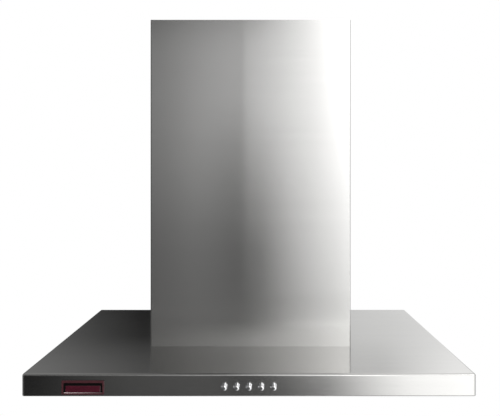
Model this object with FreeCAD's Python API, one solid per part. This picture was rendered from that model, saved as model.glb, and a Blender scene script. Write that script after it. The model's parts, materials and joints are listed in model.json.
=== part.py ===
# Flat wall-mounted range hood: a thin stainless canopy with a box chimney above it.
#
# Millimetres, +Z up. The wall is the plane Y = 0 and the hood's front faces -Y.
# The origin lies on the wall, at the centre of the four wall fixing holes.
# Every piece is a solid of its own, written to parts/NODE.step.

import FreeCAD, Part
import math
import os

V = FreeCAD.Vector

# Sheet metal
SHEET = 1.0

# Canopy
CANOPY_WIDTH = 600.0
CANOPY_DEPTH = 450.0
CANOPY_HEIGHT = 30.0
CANOPY_BEND = 3.0
CANOPY_HEM = 1.5
CANOPY_LIP = 12.0

# Wall fixing: four holes in the back of the blower box
WALL_FIXING_HEIGHT = 175.0
WALL_HOLE_RADIUS = 4.0
WALL_HOLES_APART_X = 190.0
WALL_HOLES_APART_Z = 190.0

# Chimney: an outer lower cover and an inner upper cover that slides up to the ceiling
CHIMNEY_WIDTH = 308.0
CHIMNEY_DEPTH = 300.0
CHIMNEY_HEIGHT = 502.0
CHIMNEY_BEND = 1.8
CHIMNEY_RETURN = 13.0
CHIMNEY_SLIDE_GAP = 0.5
UPPER_CHIMNEY_DROP = 6.0
VENT_ROWS = 8
VENT_LENGTH = 90.0
VENT_HEIGHT = 4.5
VENT_PITCH = 9.0
VENT_BELOW_TOP = 60.0

# Bracket that ties the upper cover to the wall
BRACKET_HEIGHT = 30.0
BRACKET_BELOW_TOP = 12.0
BRACKET_SHEET = 1.2
BRACKET_SIDE_GAP = 0.3
BRACKET_PAD_RADIUS = 9.0
BRACKET_HOLE_RADIUS = 2.6
BRACKET_HOLES_APART = 200.0

# Screws
SCREW_RADIUS = 1.75
SCREW_HEAD_RADIUS = 3.3
SCREW_HEAD_HEIGHT = 2.2
SCREW_LENGTH = 6.0
SCREW_GAP = 0.15
SCREW_SLOT_WIDTH = 0.9
SCREW_SLOT_DEPTH = 1.1

# Underside pan
PAN_GAP = 0.5
PAN_RECESS = 5.0
PAN_FRONT_STRIP = 100.0
PAN_REAR_STRIP = 48.0
PAN_SIDE_STRIP = 42.0
PAN_CENTRE_BAR = 16.0
RAIL_BEARING = 16.0
RAIL_HEIGHT = 18.0
RAIL_END_GAP = 10.0
PAN_SCREWS_PER_SIDE = 3
PAN_SCREW_END = 40.0

# Grease filters
FILTER_GAP = 1.5
FILTER_THICKNESS = 9.0
FRAME_BORDER = 12.0
FRAME_FRONT_BAR = 28.0
FRAME_SKIN = 2.0
MESH_GROOVE = 4.0
MESH_GAP = 0.1
MESH_FACE = 1.2
MESH_CELL_X = 19.0
MESH_CELL_Y = 20.0
MESH_STRAND = 4.0
TAB_WIDTH = 20.0
TAB_REACH = 8.0
TAB_THICKNESS = 1.5
TAB_GAP = 0.3
TABS_APART = 130.0

# Filter latch: a sprung tongue with a finger knob under the filter
LATCH_WIDTH = 28.0
LATCH_REACH = 4.0
LATCH_LENGTH = 18.0
LATCH_THICKNESS = 3.0
LATCH_TRAVEL = 5.0
LATCH_GAP = 0.2
LATCH_SPRING_ROOM = 8.5
KNOB_WIDTH = 30.0
KNOB_LENGTH = 15.0
KNOB_HEIGHT = 3.6
KNOB_SETBACK = 2.0
KNOB_RIBS = 4
KNOB_RIB_DEPTH = 0.8
STEM_WIDTH = 8.0
STEM_LENGTH = 8.0
STEM_SETBACK = 5.3
KEEPER_SHEET = 0.6
KEEPER_WIDTH = 22.0
KEEPER_FOOT = 10.0
KEEPER_OVERLAP = 3.0
KEEPER_GAP = 0.3
NOTCH_ROOM = 1.2

# Coil springs
SPRING_WIRE = 0.5
SPRING_TURNS = 4
SPRING_ROOM = 0.3
LATCH_SPRING_RADIUS = 1.15

# Push buttons
BUTTON_NAMES = ("light", "stop", "speed_1", "speed_2", "speed_3")
BUTTON_PITCH = 16.3
BUTTON_HEIGHT = 13.0
BUTTON_RADIUS = 3.8
BUTTON_DOME = 2.4
BUTTON_PROUD = 8.0
BUTTON_GAP = 0.25
BUTTON_TRAVEL = 2.5
BUTTON_FLANGE = 1.2
BUTTON_FLANGE_THICKNESS = 1.5
BUTTON_STEM_RADIUS = 2.0
BUTTON_STEM_GAP = 0.05
GUIDE_WALL = 0.8
GUIDE_PROUD = 0.8
GUIDE_THICKNESS = 4.0
GUIDE_HOLE_GAP = 0.1
GUIDE_END = 11.0
GUIDE_POST = 4.0
CONTROL_CLEARANCE = 0.6
SPRING_SPAN = 9.5
SWITCH_DEPTH = 22.0
SWITCH_BITE = 5.0

# Badge: a bare nameplate with a raised rim
BADGE_WIDTH = 56.5
BADGE_HEIGHT = 18.8
BADGE_THICKNESS = 1.6
BADGE_RIM = 2.2
BADGE_RECESS = 0.7
BADGE_CORNER = 1.2
BADGE_FROM_LEFT = 81.0
BADGE_ABOVE_BOTTOM = 12.0

# Lamps in the front strip
LAMP_FROM_SIDE = 110.0
LAMP_FROM_FRONT = 50.0
LAMP_HOLE_RADIUS = 27.0
LAMP_RING_RADIUS = 31.0
LAMP_RING_LIP = 24.0
LAMP_RING_DEPTH = 1.6
LAMP_COLLAR_WALL = 0.8
LAMP_COLLAR_HEIGHT = 3.0
LAMP_GAP = 0.2
GLASS_THICKNESS = 2.0
LAMP_HOUSING_WALL = 1.0
LAMP_HOUSING_HEIGHT = 19.0
LAMP_HOUSING_FLANGE = 4.0
SOCKET_SIZE = 14.0
SOCKET_HEIGHT = 7.0
CAPSULE_RADIUS = 3.6
CAPSULE_LENGTH = 8.0
TRANSFORMER_LENGTH = 84.0
TRANSFORMER_DEPTH = 40.0
TRANSFORMER_HEIGHT = 18.0

# Blower box
GASKET = 2.0
BOX_ROOM = 4.0
BOX_FLANGE = 12.0
BOX_FRONT_GAP = 55.0
BOX_HEIGHT = 290.0
BOX_REAR_CLEARANCE = 12.0
BOX_MOUTH_LEDGE = 6.0

# Outlet collar and its non-return flaps
COLLAR_RADIUS = 75.0
COLLAR_WALL = 2.0
COLLAR_HEIGHT = 55.0
COLLAR_FLANGE = 11.0
COLLAR_FLANGE_THICKNESS = 3.0
COLLAR_FRONT_MARGIN = 9.0
FLAP_SEAT_HEIGHT = 15.0
FLAP_SEAT_WIDTH = 3.0
FLAP_SEAT_THICKNESS = 2.0
FLAP_GAP = 1.5
FLAP_REST_GAP = 0.3
FLAP_THICKNESS = 1.5
FLAP_ROOT = 4.0
FLAP_KNUCKLE_RADIUS = 3.0
FLAP_KNUCKLES = 6
FLAP_KNUCKLE_SPAN = 120.0
FLAP_KNUCKLE_GAP = 0.3
FLAP_PIN_RADIUS = 1.5
FLAP_PIN_GAP = 0.05

# Scroll housing and impeller
SCROLL_STEP = 8.0
SCROLL_GAP = 10.0
SCROLL_WALL = 2.0
SCROLL_FLOOR_GAP = 10.0
SCROLL_OUTLET_MARGIN = 1.0
IMPELLER_GAP = 9.0
IMPELLER_SIDE_GAP = 6.0
BLADE_COUNT = 36
BLADE_DEPTH = 14.0
BLADE_THICKNESS = 1.2
BLADE_SWEEP_DEG = 7.0
BLADE_BULGE_DEG = 2.2
IMPELLER_RING = 2.0
IMPELLER_DISC = 2.0
HUB_RADIUS = 10.0
HUB_LENGTH = 20.0
INLET_INSET = 5.0

# Motor
SHAFT_RADIUS = 4.0
SHAFT_FIT = 0.03
SHAFT_TAIL = 6.0
SHAFT_NOSE = 7.0
NUT_RADIUS = 7.0
NUT_LENGTH = 5.0
MOTOR_RADIUS = 45.0
MOTOR_LENGTH = 70.0
MOTOR_WALL = 1.5
MOTOR_TO_HUB = 4.0
MOTOR_FLANGE = 9.0
MOTOR_FLANGE_THICKNESS = 2.0
BEARING_RADIUS = 9.0
BEARING_LENGTH = 8.0
BEARING_GAP = 0.05
BEARING_BOSS = 2.0
STATOR_GAP = 0.2
STATOR_LENGTH = 34.0
STATOR_BORE = 27.0
COIL_RADIUS = 5.0
ROTOR_GAP = 0.5
MOTOR_SEAT_GAP = 0.2
BRACKET_PLATE = 2.0
BUSH_THICKNESS = 2.0
BUSH_RADIUS = 6.0
BRACKET_ARMS = 3
BRACKET_ARM_WIDTH = 14.0
BRACKET_RING = 12.0

# Electrics
CAPACITOR_RADIUS = 15.0
CAPACITOR_LENGTH = 38.0
CAPACITOR_FROM_WALL = 34.0
CAPACITOR_BELOW_TOP = 34.0
TERMINAL_WIDTH = 90.0
TERMINAL_DEPTH = 30.0
TERMINAL_HEIGHT = 64.0
TERMINAL_BELOW_TOP = 40.0
TERMINAL_WALL = 2.0
GLAND_RADIUS = 9.0
GLAND_BORE = 4.2
GLAND_HEIGHT = 14.0

# Places worked out from the sizes above
bottom = -WALL_FIXING_HEIGHT
canopy_top = bottom + CANOPY_HEIGHT
half_width = CANOPY_WIDTH / 2
front = -CANOPY_DEPTH
inner_front = front + SHEET
pan_bottom = bottom + PAN_RECESS
pan_top = pan_bottom + SHEET
pan_half = half_width - CANOPY_LIP - PAN_GAP
pan_front = front + CANOPY_LIP + PAN_GAP
pan_rear = -CANOPY_LIP - PAN_GAP

opening_front = front + PAN_FRONT_STRIP
opening_rear = -PAN_REAR_STRIP
opening_inner = PAN_CENTRE_BAR / 2
opening_outer = half_width - PAN_SIDE_STRIP
filter_x = (opening_inner + opening_outer) / 2
filter_half = (opening_outer - opening_inner) / 2 - FILTER_GAP
filter_front = opening_front + FILTER_GAP
filter_rear = opening_rear - FILTER_GAP
filter_bottom = pan_bottom
filter_top = filter_bottom + FILTER_THICKNESS
latch_z = filter_bottom + FILTER_THICKNESS / 2
latch_low = latch_z - LATCH_THICKNESS / 2
latch_high = latch_z + LATCH_THICKNESS / 2
latch_back = filter_front + LATCH_LENGTH - LATCH_REACH
pocket_back = latch_back + LATCH_SPRING_ROOM

chimney_half = CHIMNEY_WIDTH / 2
chimney_top = canopy_top + CHIMNEY_HEIGHT
upper_half = chimney_half - SHEET - CHIMNEY_SLIDE_GAP
upper_front = -(CHIMNEY_DEPTH - SHEET - CHIMNEY_SLIDE_GAP)
upper_rear = -(SHEET + CHIMNEY_SLIDE_GAP)
upper_bottom = canopy_top + SHEET
upper_top = chimney_top - UPPER_CHIMNEY_DROP

box_half = chimney_half - CHIMNEY_RETURN - BOX_ROOM - BOX_FLANGE
box_front = -(CHIMNEY_DEPTH - BOX_FRONT_GAP)
box_bottom = canopy_top + GASKET
box_top = box_bottom + BOX_HEIGHT

collar_bore = COLLAR_RADIUS - COLLAR_WALL
collar_flange_half = COLLAR_RADIUS + COLLAR_FLANGE
collar_y = box_front + COLLAR_FRONT_MARGIN + collar_flange_half
collar_base = box_top + COLLAR_FLANGE_THICKNESS
flap_seat_top = collar_base + FLAP_SEAT_HEIGHT
flap_z = flap_seat_top + FLAP_REST_GAP + FLAP_THICKNESS / 2

scroll_half = collar_bore + SCROLL_WALL + SCROLL_OUTLET_MARGIN
scroll_top = box_top - SHEET
scroll_radius = (-box_front - 2 * SHEET - 2 * SCROLL_GAP - 3 * SCROLL_STEP) / 2
axis_y = -SHEET - SCROLL_GAP - scroll_radius
axis_z = box_bottom + SCROLL_FLOOR_GAP + scroll_radius + SCROLL_STEP
impeller_radius = scroll_radius - SCROLL_WALL - IMPELLER_GAP
impeller_half = scroll_half - SCROLL_WALL - IMPELLER_SIDE_GAP
blade_inner = impeller_radius - BLADE_DEPTH
inlet_radius = blade_inner - INLET_INSET

hub_start = -HUB_LENGTH / 2
motor_front = hub_start - MOTOR_TO_HUB
motor_back = motor_front - MOTOR_LENGTH
motor_split = (motor_front + motor_back) / 2
bracket_x = -scroll_half - BUSH_THICKNESS
bush_circle = inlet_radius + BRACKET_RING / 2

button_z = bottom + BUTTON_HEIGHT
control_half = button_z - pan_top - CONTROL_CLEARANCE
guide_back = inner_front + GUIDE_THICKNESS
collar_outer = BUTTON_RADIUS + BUTTON_GAP + GUIDE_WALL
flange_front = guide_back + BUTTON_GAP
flange_back = flange_front + BUTTON_FLANGE_THICKNESS
switch_front = flange_back + SPRING_SPAN
switch_half = (len(BUTTON_NAMES) - 1) / 2 * BUTTON_PITCH + GUIDE_END
spring_radius = BUTTON_STEM_RADIUS + SPRING_ROOM + SPRING_WIRE / 2


# Building blocks

def block(x0, x1, y0, y1, z0, z1):
    """A box between two values on each axis."""
    return Part.makeBox(x1 - x0, y1 - y0, z1 - z0, V(x0, y0, z0))


def wide(half, y0, y1, z0, z1):
    """A box centred on X = 0."""
    return block(-half, half, y0, y1, z0, z1)


def rod_x(y, z, radius, x0, x1):
    return Part.makeCylinder(radius, x1 - x0, V(x0, y, z), V(1, 0, 0))


def rod_y(x, z, radius, y0, y1):
    return Part.makeCylinder(radius, y1 - y0, V(x, y0, z), V(0, 1, 0))


def rod_z(x, y, radius, z0, z1):
    return Part.makeCylinder(radius, z1 - z0, V(x, y, z0), V(0, 0, 1))


def along(edge, axis):
    """True if a straight edge runs along an axis: 0 for X, 1 for Y, 2 for Z."""
    ends = [v.Point for v in edge.Vertexes]
    if len(ends) != 2:
        return False
    run = ends[1] - ends[0]
    return all(abs(run[k]) < 1e-6 for k in range(3) if k != axis)


def at_height(edge, z):
    return all(abs(v.Z - z) < 1e-6 for v in edge.Vertexes)


def round_uprights(shape, radius):
    """Rounds the upright corners of a box."""
    return shape.makeFillet(radius, [e for e in shape.Edges if along(e, 2)])


def folded_box(half, y0, y1, z0, z1, bend, hem):
    """A box with its edges folded to a bend, and those at the bottom to a tighter hem."""
    body = wide(half, y0, y1, z0, z1)
    body = body.makeFillet(bend, [e for e in body.Edges if not at_height(e, z0)])
    return body.makeFillet(hem, [e for e in body.Edges if at_height(e, z0)])


def turned(shape, direction):
    """Turns a shape made along +Z to point along a direction."""
    shape.Placement = FreeCAD.Placement(V(0, 0, 0), FreeCAD.Rotation(V(0, 0, 1), direction))
    return shape


def screw(seat, direction):
    """A slotted pan-head screw: its head rests on the seat and its shank runs along the direction."""
    head = Part.makeCylinder(SCREW_HEAD_RADIUS, SCREW_HEAD_HEIGHT, V(0, 0, -SCREW_HEAD_HEIGHT))
    rim = [e for e in head.Edges if at_height(e, -SCREW_HEAD_HEIGHT)]
    head = head.makeFillet(SCREW_HEAD_HEIGHT / 3, rim)
    slot = block(
        -SCREW_HEAD_RADIUS, SCREW_HEAD_RADIUS,
        -SCREW_SLOT_WIDTH / 2, SCREW_SLOT_WIDTH / 2,
        -SCREW_HEAD_HEIGHT, SCREW_SLOT_DEPTH - SCREW_HEAD_HEIGHT,
    )
    shank = Part.makeCylinder(SCREW_RADIUS, SCREW_LENGTH)
    whole = turned(head.cut(slot).fuse(shank), direction)
    whole.translate(seat)
    return whole


def screw_hole(seat, direction):
    """A clearance hole for a screw, through whatever its shank crosses."""
    start = seat - direction * SCREW_HEAD_HEIGHT
    return Part.makeCylinder(
        SCREW_RADIUS + SCREW_GAP, SCREW_LENGTH + 2 * SCREW_HEAD_HEIGHT, start, direction
    )


def holes(seats):
    return [screw_hole(seat, direction) for seat, direction in seats]


def arc_between(start, tangent, end):
    """The arc that leaves a point along a tangent and ends at another point."""
    chord = end - start
    along_chord = V(chord).normalize()
    bulge = tangent - along_chord * tangent.dot(along_chord)
    turn = math.acos(max(-1.0, min(1.0, tangent.dot(along_chord))))
    middle = (start + end) * 0.5 + V(bulge).normalize() * (chord.Length / 2 * math.tan(turn / 2))
    return Part.Arc(start, middle, end).toShape()


def biarc(start, tangent, end, end_tangent):
    """Two arcs that join two points and keep the tangents there."""
    v = end - start
    t = tangent + end_tangent
    spread = 2 * (1 - tangent.dot(end_tangent))
    d = (math.sqrt(v.dot(t) ** 2 + spread * v.dot(v)) - v.dot(t)) / spread
    joint = (start + tangent * d + end - end_tangent * d) * 0.5
    first = arc_between(start, tangent, joint)
    back = arc_between(end, end_tangent * -1, joint)
    middle = back.valueAt((back.FirstParameter + back.LastParameter) / 2)
    return [first, Part.Arc(joint, middle, end).toShape()]


def coil_spring(x, z, radius, y0, y1):
    """A round-wire compression spring along Y, as one unbroken tube."""
    rise = (y1 - y0 - SPRING_WIRE) / SPRING_TURNS
    start_y = y0 + SPRING_WIRE / 2

    def point(turns):
        a = 2 * math.pi * turns
        return V(x + radius * math.cos(a), start_y + rise * turns, z + radius * math.sin(a))

    def heading(turns):
        a = 2 * math.pi * turns
        across = 2 * math.pi * radius
        return V(-across * math.sin(a), rise, across * math.cos(a)).normalize()

    quarters = [q / 4 for q in range(4 * SPRING_TURNS + 1)]
    edges = []
    for q0, q1 in zip(quarters, quarters[1:]):
        edges += biarc(point(q0), heading(q0), point(q1), heading(q1))
    fine = [q / 24 for q in range(24 * SPRING_TURNS + 1)]
    apart = min(
        (point(a) - point(b)).Length for a in fine for b in fine if b - a > 0.5
    )
    print(f"coil spring: least gap to itself {apart - SPRING_WIRE:.2f} mm")
    wire = Part.Wire(edges)
    section = Part.Wire(Part.makeCircle(SPRING_WIRE / 2, point(0), heading(0)))
    return wire.makePipeShell([section], True, False)


def sides(make):
    """The left and right copies of a mirrored pair."""
    return {"left": make(-1), "right": make(1)}


# Screw seats, shared by the screws and by the holes that they pass through

UP = V(0, 0, 1)
DOWN = V(0, 0, -1)
BACK = V(0, 1, 0)


def pan_screw_seats():
    first = pan_front + PAN_SCREW_END
    last = pan_rear - PAN_SCREW_END
    step = (last - first) / (PAN_SCREWS_PER_SIDE - 1)
    x = pan_half - RAIL_BEARING / 2
    return [
        (V(side * x, first + n * step, pan_bottom), UP)
        for side in (-1, 1)
        for n in range(PAN_SCREWS_PER_SIDE)
    ]


def box_screw_seats():
    x = box_half + BOX_FLANGE / 2
    z = box_bottom + SHEET
    seats = [(V(side * x, box_front * share, z), DOWN) for side in (-1, 1) for share in (0.2, 0.8)]
    y = box_front - BOX_FLANGE / 2
    return seats + [(V(side * box_half * 0.7, y, z), DOWN) for side in (-1, 1)]


def collar_screw_seats():
    reach = collar_flange_half - COLLAR_FLANGE / 2
    z = collar_base
    return [
        (V(sx * reach, collar_y + sy * reach, z), DOWN) for sx in (-1, 1) for sy in (-1, 1)
    ]


def chimney_screw_seats():
    x = chimney_half - SHEET - CHIMNEY_RETURN / 2 - SCREW_RADIUS / 2
    z = canopy_top - SHEET
    return [
        (V(side * x, -CHIMNEY_DEPTH * share, z), UP) for side in (-1, 1) for share in (0.3, 0.8)
    ]


def bracket_screw_seats():
    x = upper_half - CHIMNEY_RETURN / 2
    y = upper_rear - SHEET - BRACKET_SHEET
    z = upper_top - BRACKET_BELOW_TOP - BRACKET_HEIGHT / 2
    return [(V(side * x, y, z), BACK) for side in (-1, 1)]


# Canopy

def canopy_shell():
    outer = folded_box(half_width, front, 0, bottom, canopy_top, CANOPY_BEND, CANOPY_HEM)
    hollow = folded_box(
        half_width - SHEET, inner_front, -SHEET,
        bottom + SHEET, canopy_top - SHEET, CANOPY_BEND - SHEET, CANOPY_HEM - SHEET,
    )
    mouth = wide(half_width - CANOPY_LIP, front + CANOPY_LIP, -CANOPY_LIP, bottom, bottom + SHEET)
    inlet = wide(
        box_half - SHEET - BOX_MOUTH_LEDGE,
        box_front + SHEET + BOX_MOUTH_LEDGE, -SHEET - BOX_MOUTH_LEDGE,
        canopy_top - SHEET, canopy_top,
    )
    button_holes = [
        rod_y(x, button_z, collar_outer + GUIDE_HOLE_GAP, front, inner_front) for x in button_places()
    ]
    cuts = [hollow, mouth, inlet] + button_holes
    return outer.cut(cuts + holes(box_screw_seats() + chimney_screw_seats()))


def badge_plate():
    """A bare nameplate on the front, with a raised rim round a sunk field."""
    x = -half_width + BADGE_FROM_LEFT
    z = bottom + BADGE_ABOVE_BOTTOM
    half_x = BADGE_WIDTH / 2
    half_z = BADGE_HEIGHT / 2
    plate = block(x - half_x, x + half_x, front - BADGE_THICKNESS, front, z - half_z, z + half_z)
    plate = plate.makeFillet(BADGE_CORNER, [e for e in plate.Edges if along(e, 1)])
    field = block(
        x - half_x + BADGE_RIM, x + half_x - BADGE_RIM,
        front - BADGE_THICKNESS, front - BADGE_THICKNESS + BADGE_RECESS,
        z - half_z + BADGE_RIM, z + half_z - BADGE_RIM,
    )
    return plate.cut(field)


def pan_rails():
    """The two angle rails, spot-welded inside the canopy's sides, that the pan is screwed to."""
    def rail(side):
        wall = side * (half_width - SHEET)
        y0 = front + RAIL_END_GAP
        y1 = -RAIL_END_GAP
        edge = side * (pan_half - RAIL_BEARING)
        leg = block(*sorted((wall, edge)), y0, y1, pan_top, pan_top + SHEET)
        web = block(*sorted((wall, wall - side * SHEET)), y0, y1, pan_top, pan_top + RAIL_HEIGHT)
        return leg.fuse(web).removeSplitter().cut(holes(pan_screw_seats()))

    return Part.makeCompound([rail(-1), rail(1)])


def latch_notch(side):
    """The gap in the pan's edge that the latch tongue swings through."""
    half = LATCH_WIDTH / 2 + NOTCH_ROOM
    x = side * filter_x
    y = filter_front - LATCH_REACH - NOTCH_ROOM
    return block(x - half, x + half, y, opening_front, pan_bottom, pan_top)


def underside_pan():
    outer = wide(pan_half, pan_front, pan_rear, bottom, pan_top)
    under = wide(pan_half - SHEET, pan_front + SHEET, pan_rear - SHEET, bottom, pan_bottom)
    cuts = [under]
    for side in (-1, 1):
        x0, x1 = sorted((side * opening_inner, side * opening_outer))
        cuts.append(block(x0, x1, opening_front, opening_rear, pan_bottom, pan_top))
        cuts.append(latch_notch(side))
        x, y = lamp_place(side)
        cuts.append(rod_z(x, y, LAMP_HOLE_RADIUS, pan_bottom, pan_top))
    return outer.cut(cuts + holes(pan_screw_seats()))


# Controls

def button_places():
    middle = (len(BUTTON_NAMES) - 1) / 2
    return [(n - middle) * BUTTON_PITCH for n in range(len(BUTTON_NAMES))]


def button_guide():
    """The moulded strip behind the front whose collars line the button holes."""
    low = button_z - control_half
    high = button_z + control_half
    body = wide(switch_half, inner_front, guide_back, low, high)
    posts = []
    for side in (-1, 1):
        x0, x1 = sorted((side * switch_half, side * (switch_half - GUIDE_POST)))
        posts.append(block(x0, x1, guide_back, switch_front, low, high))
    collars = [
        rod_y(x, button_z, collar_outer, front - GUIDE_PROUD, inner_front) for x in button_places()
    ]
    bores = [
        rod_y(x, button_z, BUTTON_RADIUS + BUTTON_GAP, front - GUIDE_PROUD, guide_back)
        for x in button_places()
    ]
    return body.fuse(posts + collars).removeSplitter().cut(bores)


def button(x):
    """A domed push button with its retaining flange and stem."""
    tip = front - BUTTON_PROUD
    cap = rod_y(x, button_z, BUTTON_RADIUS, tip, flange_front)
    rim = [e for e in cap.Edges if all(abs(v.Y - tip) < 1e-6 for v in e.Vertexes)]
    cap = cap.makeFillet(BUTTON_DOME, rim)
    flange = rod_y(x, button_z, BUTTON_RADIUS + BUTTON_FLANGE, flange_front, flange_back)
    stem = rod_y(x, button_z, BUTTON_STEM_RADIUS, flange_back, switch_front + SWITCH_BITE)
    return cap.fuse([flange, stem]).removeSplitter()


def button_springs():
    return Part.makeCompound(
        [coil_spring(x, button_z, spring_radius, flange_back, switch_front) for x in button_places()]
    )


def switch_block():
    """The interlocked five-way switch that the button stems push into."""
    low = button_z - control_half
    high = button_z + control_half
    body = wide(switch_half, switch_front, switch_front + SWITCH_DEPTH, low, high)
    depth = SWITCH_BITE + 2 * BUTTON_TRAVEL
    bores = [
        rod_y(x, button_z, BUTTON_STEM_RADIUS + BUTTON_STEM_GAP, switch_front, switch_front + depth)
        for x in button_places()
    ]
    return body.cut(bores)


# Lamps

def lamp_place(side):
    return side * (half_width - LAMP_FROM_SIDE), front + LAMP_FROM_FRONT


def lamp_ring(side):
    x, y = lamp_place(side)
    outer = LAMP_HOLE_RADIUS - LAMP_GAP
    low = pan_bottom - LAMP_RING_DEPTH
    bezel = rod_z(x, y, LAMP_RING_RADIUS, low, pan_bottom)
    bezel = bezel.makeFillet(LAMP_RING_DEPTH / 2, [e for e in bezel.Edges if at_height(e, low)])
    collar = rod_z(x, y, outer, pan_bottom, pan_bottom + LAMP_COLLAR_HEIGHT)
    eye = rod_z(x, y, LAMP_RING_LIP, low, pan_bottom)
    bore = rod_z(x, y, outer - LAMP_COLLAR_WALL, pan_bottom, pan_bottom + LAMP_COLLAR_HEIGHT)
    return bezel.fuse(collar).cut([eye, bore])


def lamp_glass(side):
    x, y = lamp_place(side)
    radius = LAMP_HOLE_RADIUS - 2 * LAMP_GAP - LAMP_COLLAR_WALL
    return rod_z(x, y, radius, pan_bottom, pan_bottom + GLASS_THICKNESS)


def lamp_housing(side):
    x, y = lamp_place(side)
    radius = LAMP_HOLE_RADIUS + LAMP_HOUSING_WALL
    top = pan_top + LAMP_HOUSING_HEIGHT
    can = rod_z(x, y, radius, pan_top, top)
    flange = rod_z(x, y, radius + LAMP_HOUSING_FLANGE, pan_top, pan_top + LAMP_HOUSING_WALL)
    bore = rod_z(x, y, LAMP_HOLE_RADIUS, pan_top, top - LAMP_HOUSING_WALL)
    return can.fuse(flange).removeSplitter().cut(bore)


def lamp_sockets():
    def socket(side):
        x, y = lamp_place(side)
        top = pan_top + LAMP_HOUSING_HEIGHT - LAMP_HOUSING_WALL
        half = SOCKET_SIZE / 2
        return block(x - half, x + half, y - half, y + half, top - SOCKET_HEIGHT, top)

    return Part.makeCompound([socket(-1), socket(1)])


def lamp_capsules():
    def capsule(side):
        x, y = lamp_place(side)
        top = pan_top + LAMP_HOUSING_HEIGHT - LAMP_HOUSING_WALL - SOCKET_HEIGHT
        bulb = rod_z(x, y, CAPSULE_RADIUS, top - CAPSULE_LENGTH, top)
        tip = [e for e in bulb.Edges if at_height(e, top - CAPSULE_LENGTH)]
        return bulb.makeFillet(CAPSULE_RADIUS * 0.9, tip)

    return Part.makeCompound([capsule(-1), capsule(1)])


def lamp_transformer():
    """The lamp supply, on the pan between the switch and the right lamp."""
    lamp_edge = lamp_place(1)[0] - LAMP_HOLE_RADIUS - LAMP_HOUSING_WALL - LAMP_HOUSING_FLANGE
    x = (switch_half + lamp_edge) / 2
    y = lamp_place(1)[1]
    half = TRANSFORMER_LENGTH / 2
    body = block(
        x - half, x + half, y - TRANSFORMER_DEPTH / 2, y + TRANSFORMER_DEPTH / 2,
        pan_top, pan_top + TRANSFORMER_HEIGHT,
    )
    return round_uprights(body, SHEET)


# Grease filters

def filter_frame(side):
    x = side * filter_x
    outer = block(
        x - filter_half, x + filter_half, filter_front, filter_rear, filter_bottom, filter_top
    )
    window = block(
        x - filter_half + FRAME_BORDER, x + filter_half - FRAME_BORDER,
        filter_front + FRAME_FRONT_BAR, filter_rear - FRAME_BORDER, filter_bottom, filter_top,
    )
    groove = mesh_bed(x, 0)
    half = LATCH_WIDTH / 2 + LATCH_GAP
    pocket = block(
        x - half, x + half, filter_front, pocket_back, latch_low - LATCH_GAP, latch_high + LATCH_GAP
    )
    stem_half = STEM_WIDTH / 2 + LATCH_GAP
    stem_front = filter_front + STEM_SETBACK - LATCH_GAP
    stem_slot = block(
        x - stem_half, x + stem_half, stem_front,
        stem_front + STEM_LENGTH + LATCH_TRAVEL + 2 * LATCH_GAP, filter_bottom, latch_low,
    )
    low = pan_top + TAB_GAP
    tabs = [
        block(
            x + n * TABS_APART / 2 - TAB_WIDTH / 2, x + n * TABS_APART / 2 + TAB_WIDTH / 2,
            filter_rear, filter_rear + FILTER_GAP + TAB_REACH, low, low + TAB_THICKNESS,
        )
        for n in (-1, 1)
    ]
    return outer.fuse(tabs).removeSplitter().cut([window, groove, pocket, stem_slot])


def mesh_bed(x, gap):
    """The space inside a filter frame that holds the mesh, less a gap all round."""
    reach = FRAME_BORDER - MESH_GROOVE + gap
    front_reach = FRAME_FRONT_BAR - MESH_GROOVE + gap
    return block(
        x - filter_half + reach, x + filter_half - reach,
        filter_front + front_reach, filter_rear - reach,
        filter_bottom + FRAME_SKIN + gap, filter_top - FRAME_SKIN - gap,
    )


def diamond(x, y, half_x, half_y, z):
    corners = [V(x - half_x, y, z), V(x, y - half_y, z), V(x + half_x, y, z), V(x, y + half_y, z)]
    return Part.Wire(Part.makePolygon(corners + corners[:1]))


def filter_mesh(side):
    """The layered aluminium mesh pack, with the open diamonds of its lower face."""
    bed = mesh_bed(side * filter_x, MESH_GAP).BoundBox
    pack = block(bed.XMin, bed.XMax, bed.YMin, bed.YMax, bed.ZMin + MESH_FACE, bed.ZMax)
    margin = MESH_GROOVE + MESH_STRAND / 2
    columns = int((bed.XLength - 2 * margin) / MESH_CELL_X)
    rows = int((bed.YLength - 2 * margin) / MESH_CELL_Y)
    half_x = (MESH_CELL_X - MESH_STRAND) / 2
    half_y = (MESH_CELL_Y - MESH_STRAND) / 2
    middle_x = (bed.XMin + bed.XMax) / 2
    middle_y = (bed.YMin + bed.YMax) / 2
    cells = [
        diamond(
            middle_x + (i - (columns - 1) / 2) * MESH_CELL_X,
            middle_y + (j - (rows - 1) / 2) * MESH_CELL_Y, half_x, half_y, bed.ZMin,
        )
        for i in range(columns)
        for j in range(rows)
    ]
    rim = Part.Wire(
        Part.makePolygon(
            [V(bed.XMin, bed.YMin, bed.ZMin), V(bed.XMax, bed.YMin, bed.ZMin),
             V(bed.XMax, bed.YMax, bed.ZMin), V(bed.XMin, bed.YMax, bed.ZMin),
             V(bed.XMin, bed.YMin, bed.ZMin)]
        )
    )
    face = Part.Face([rim] + cells)
    face.validate()
    return face.extrude(V(0, 0, MESH_FACE)).fuse(pack).removeSplitter()


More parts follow.
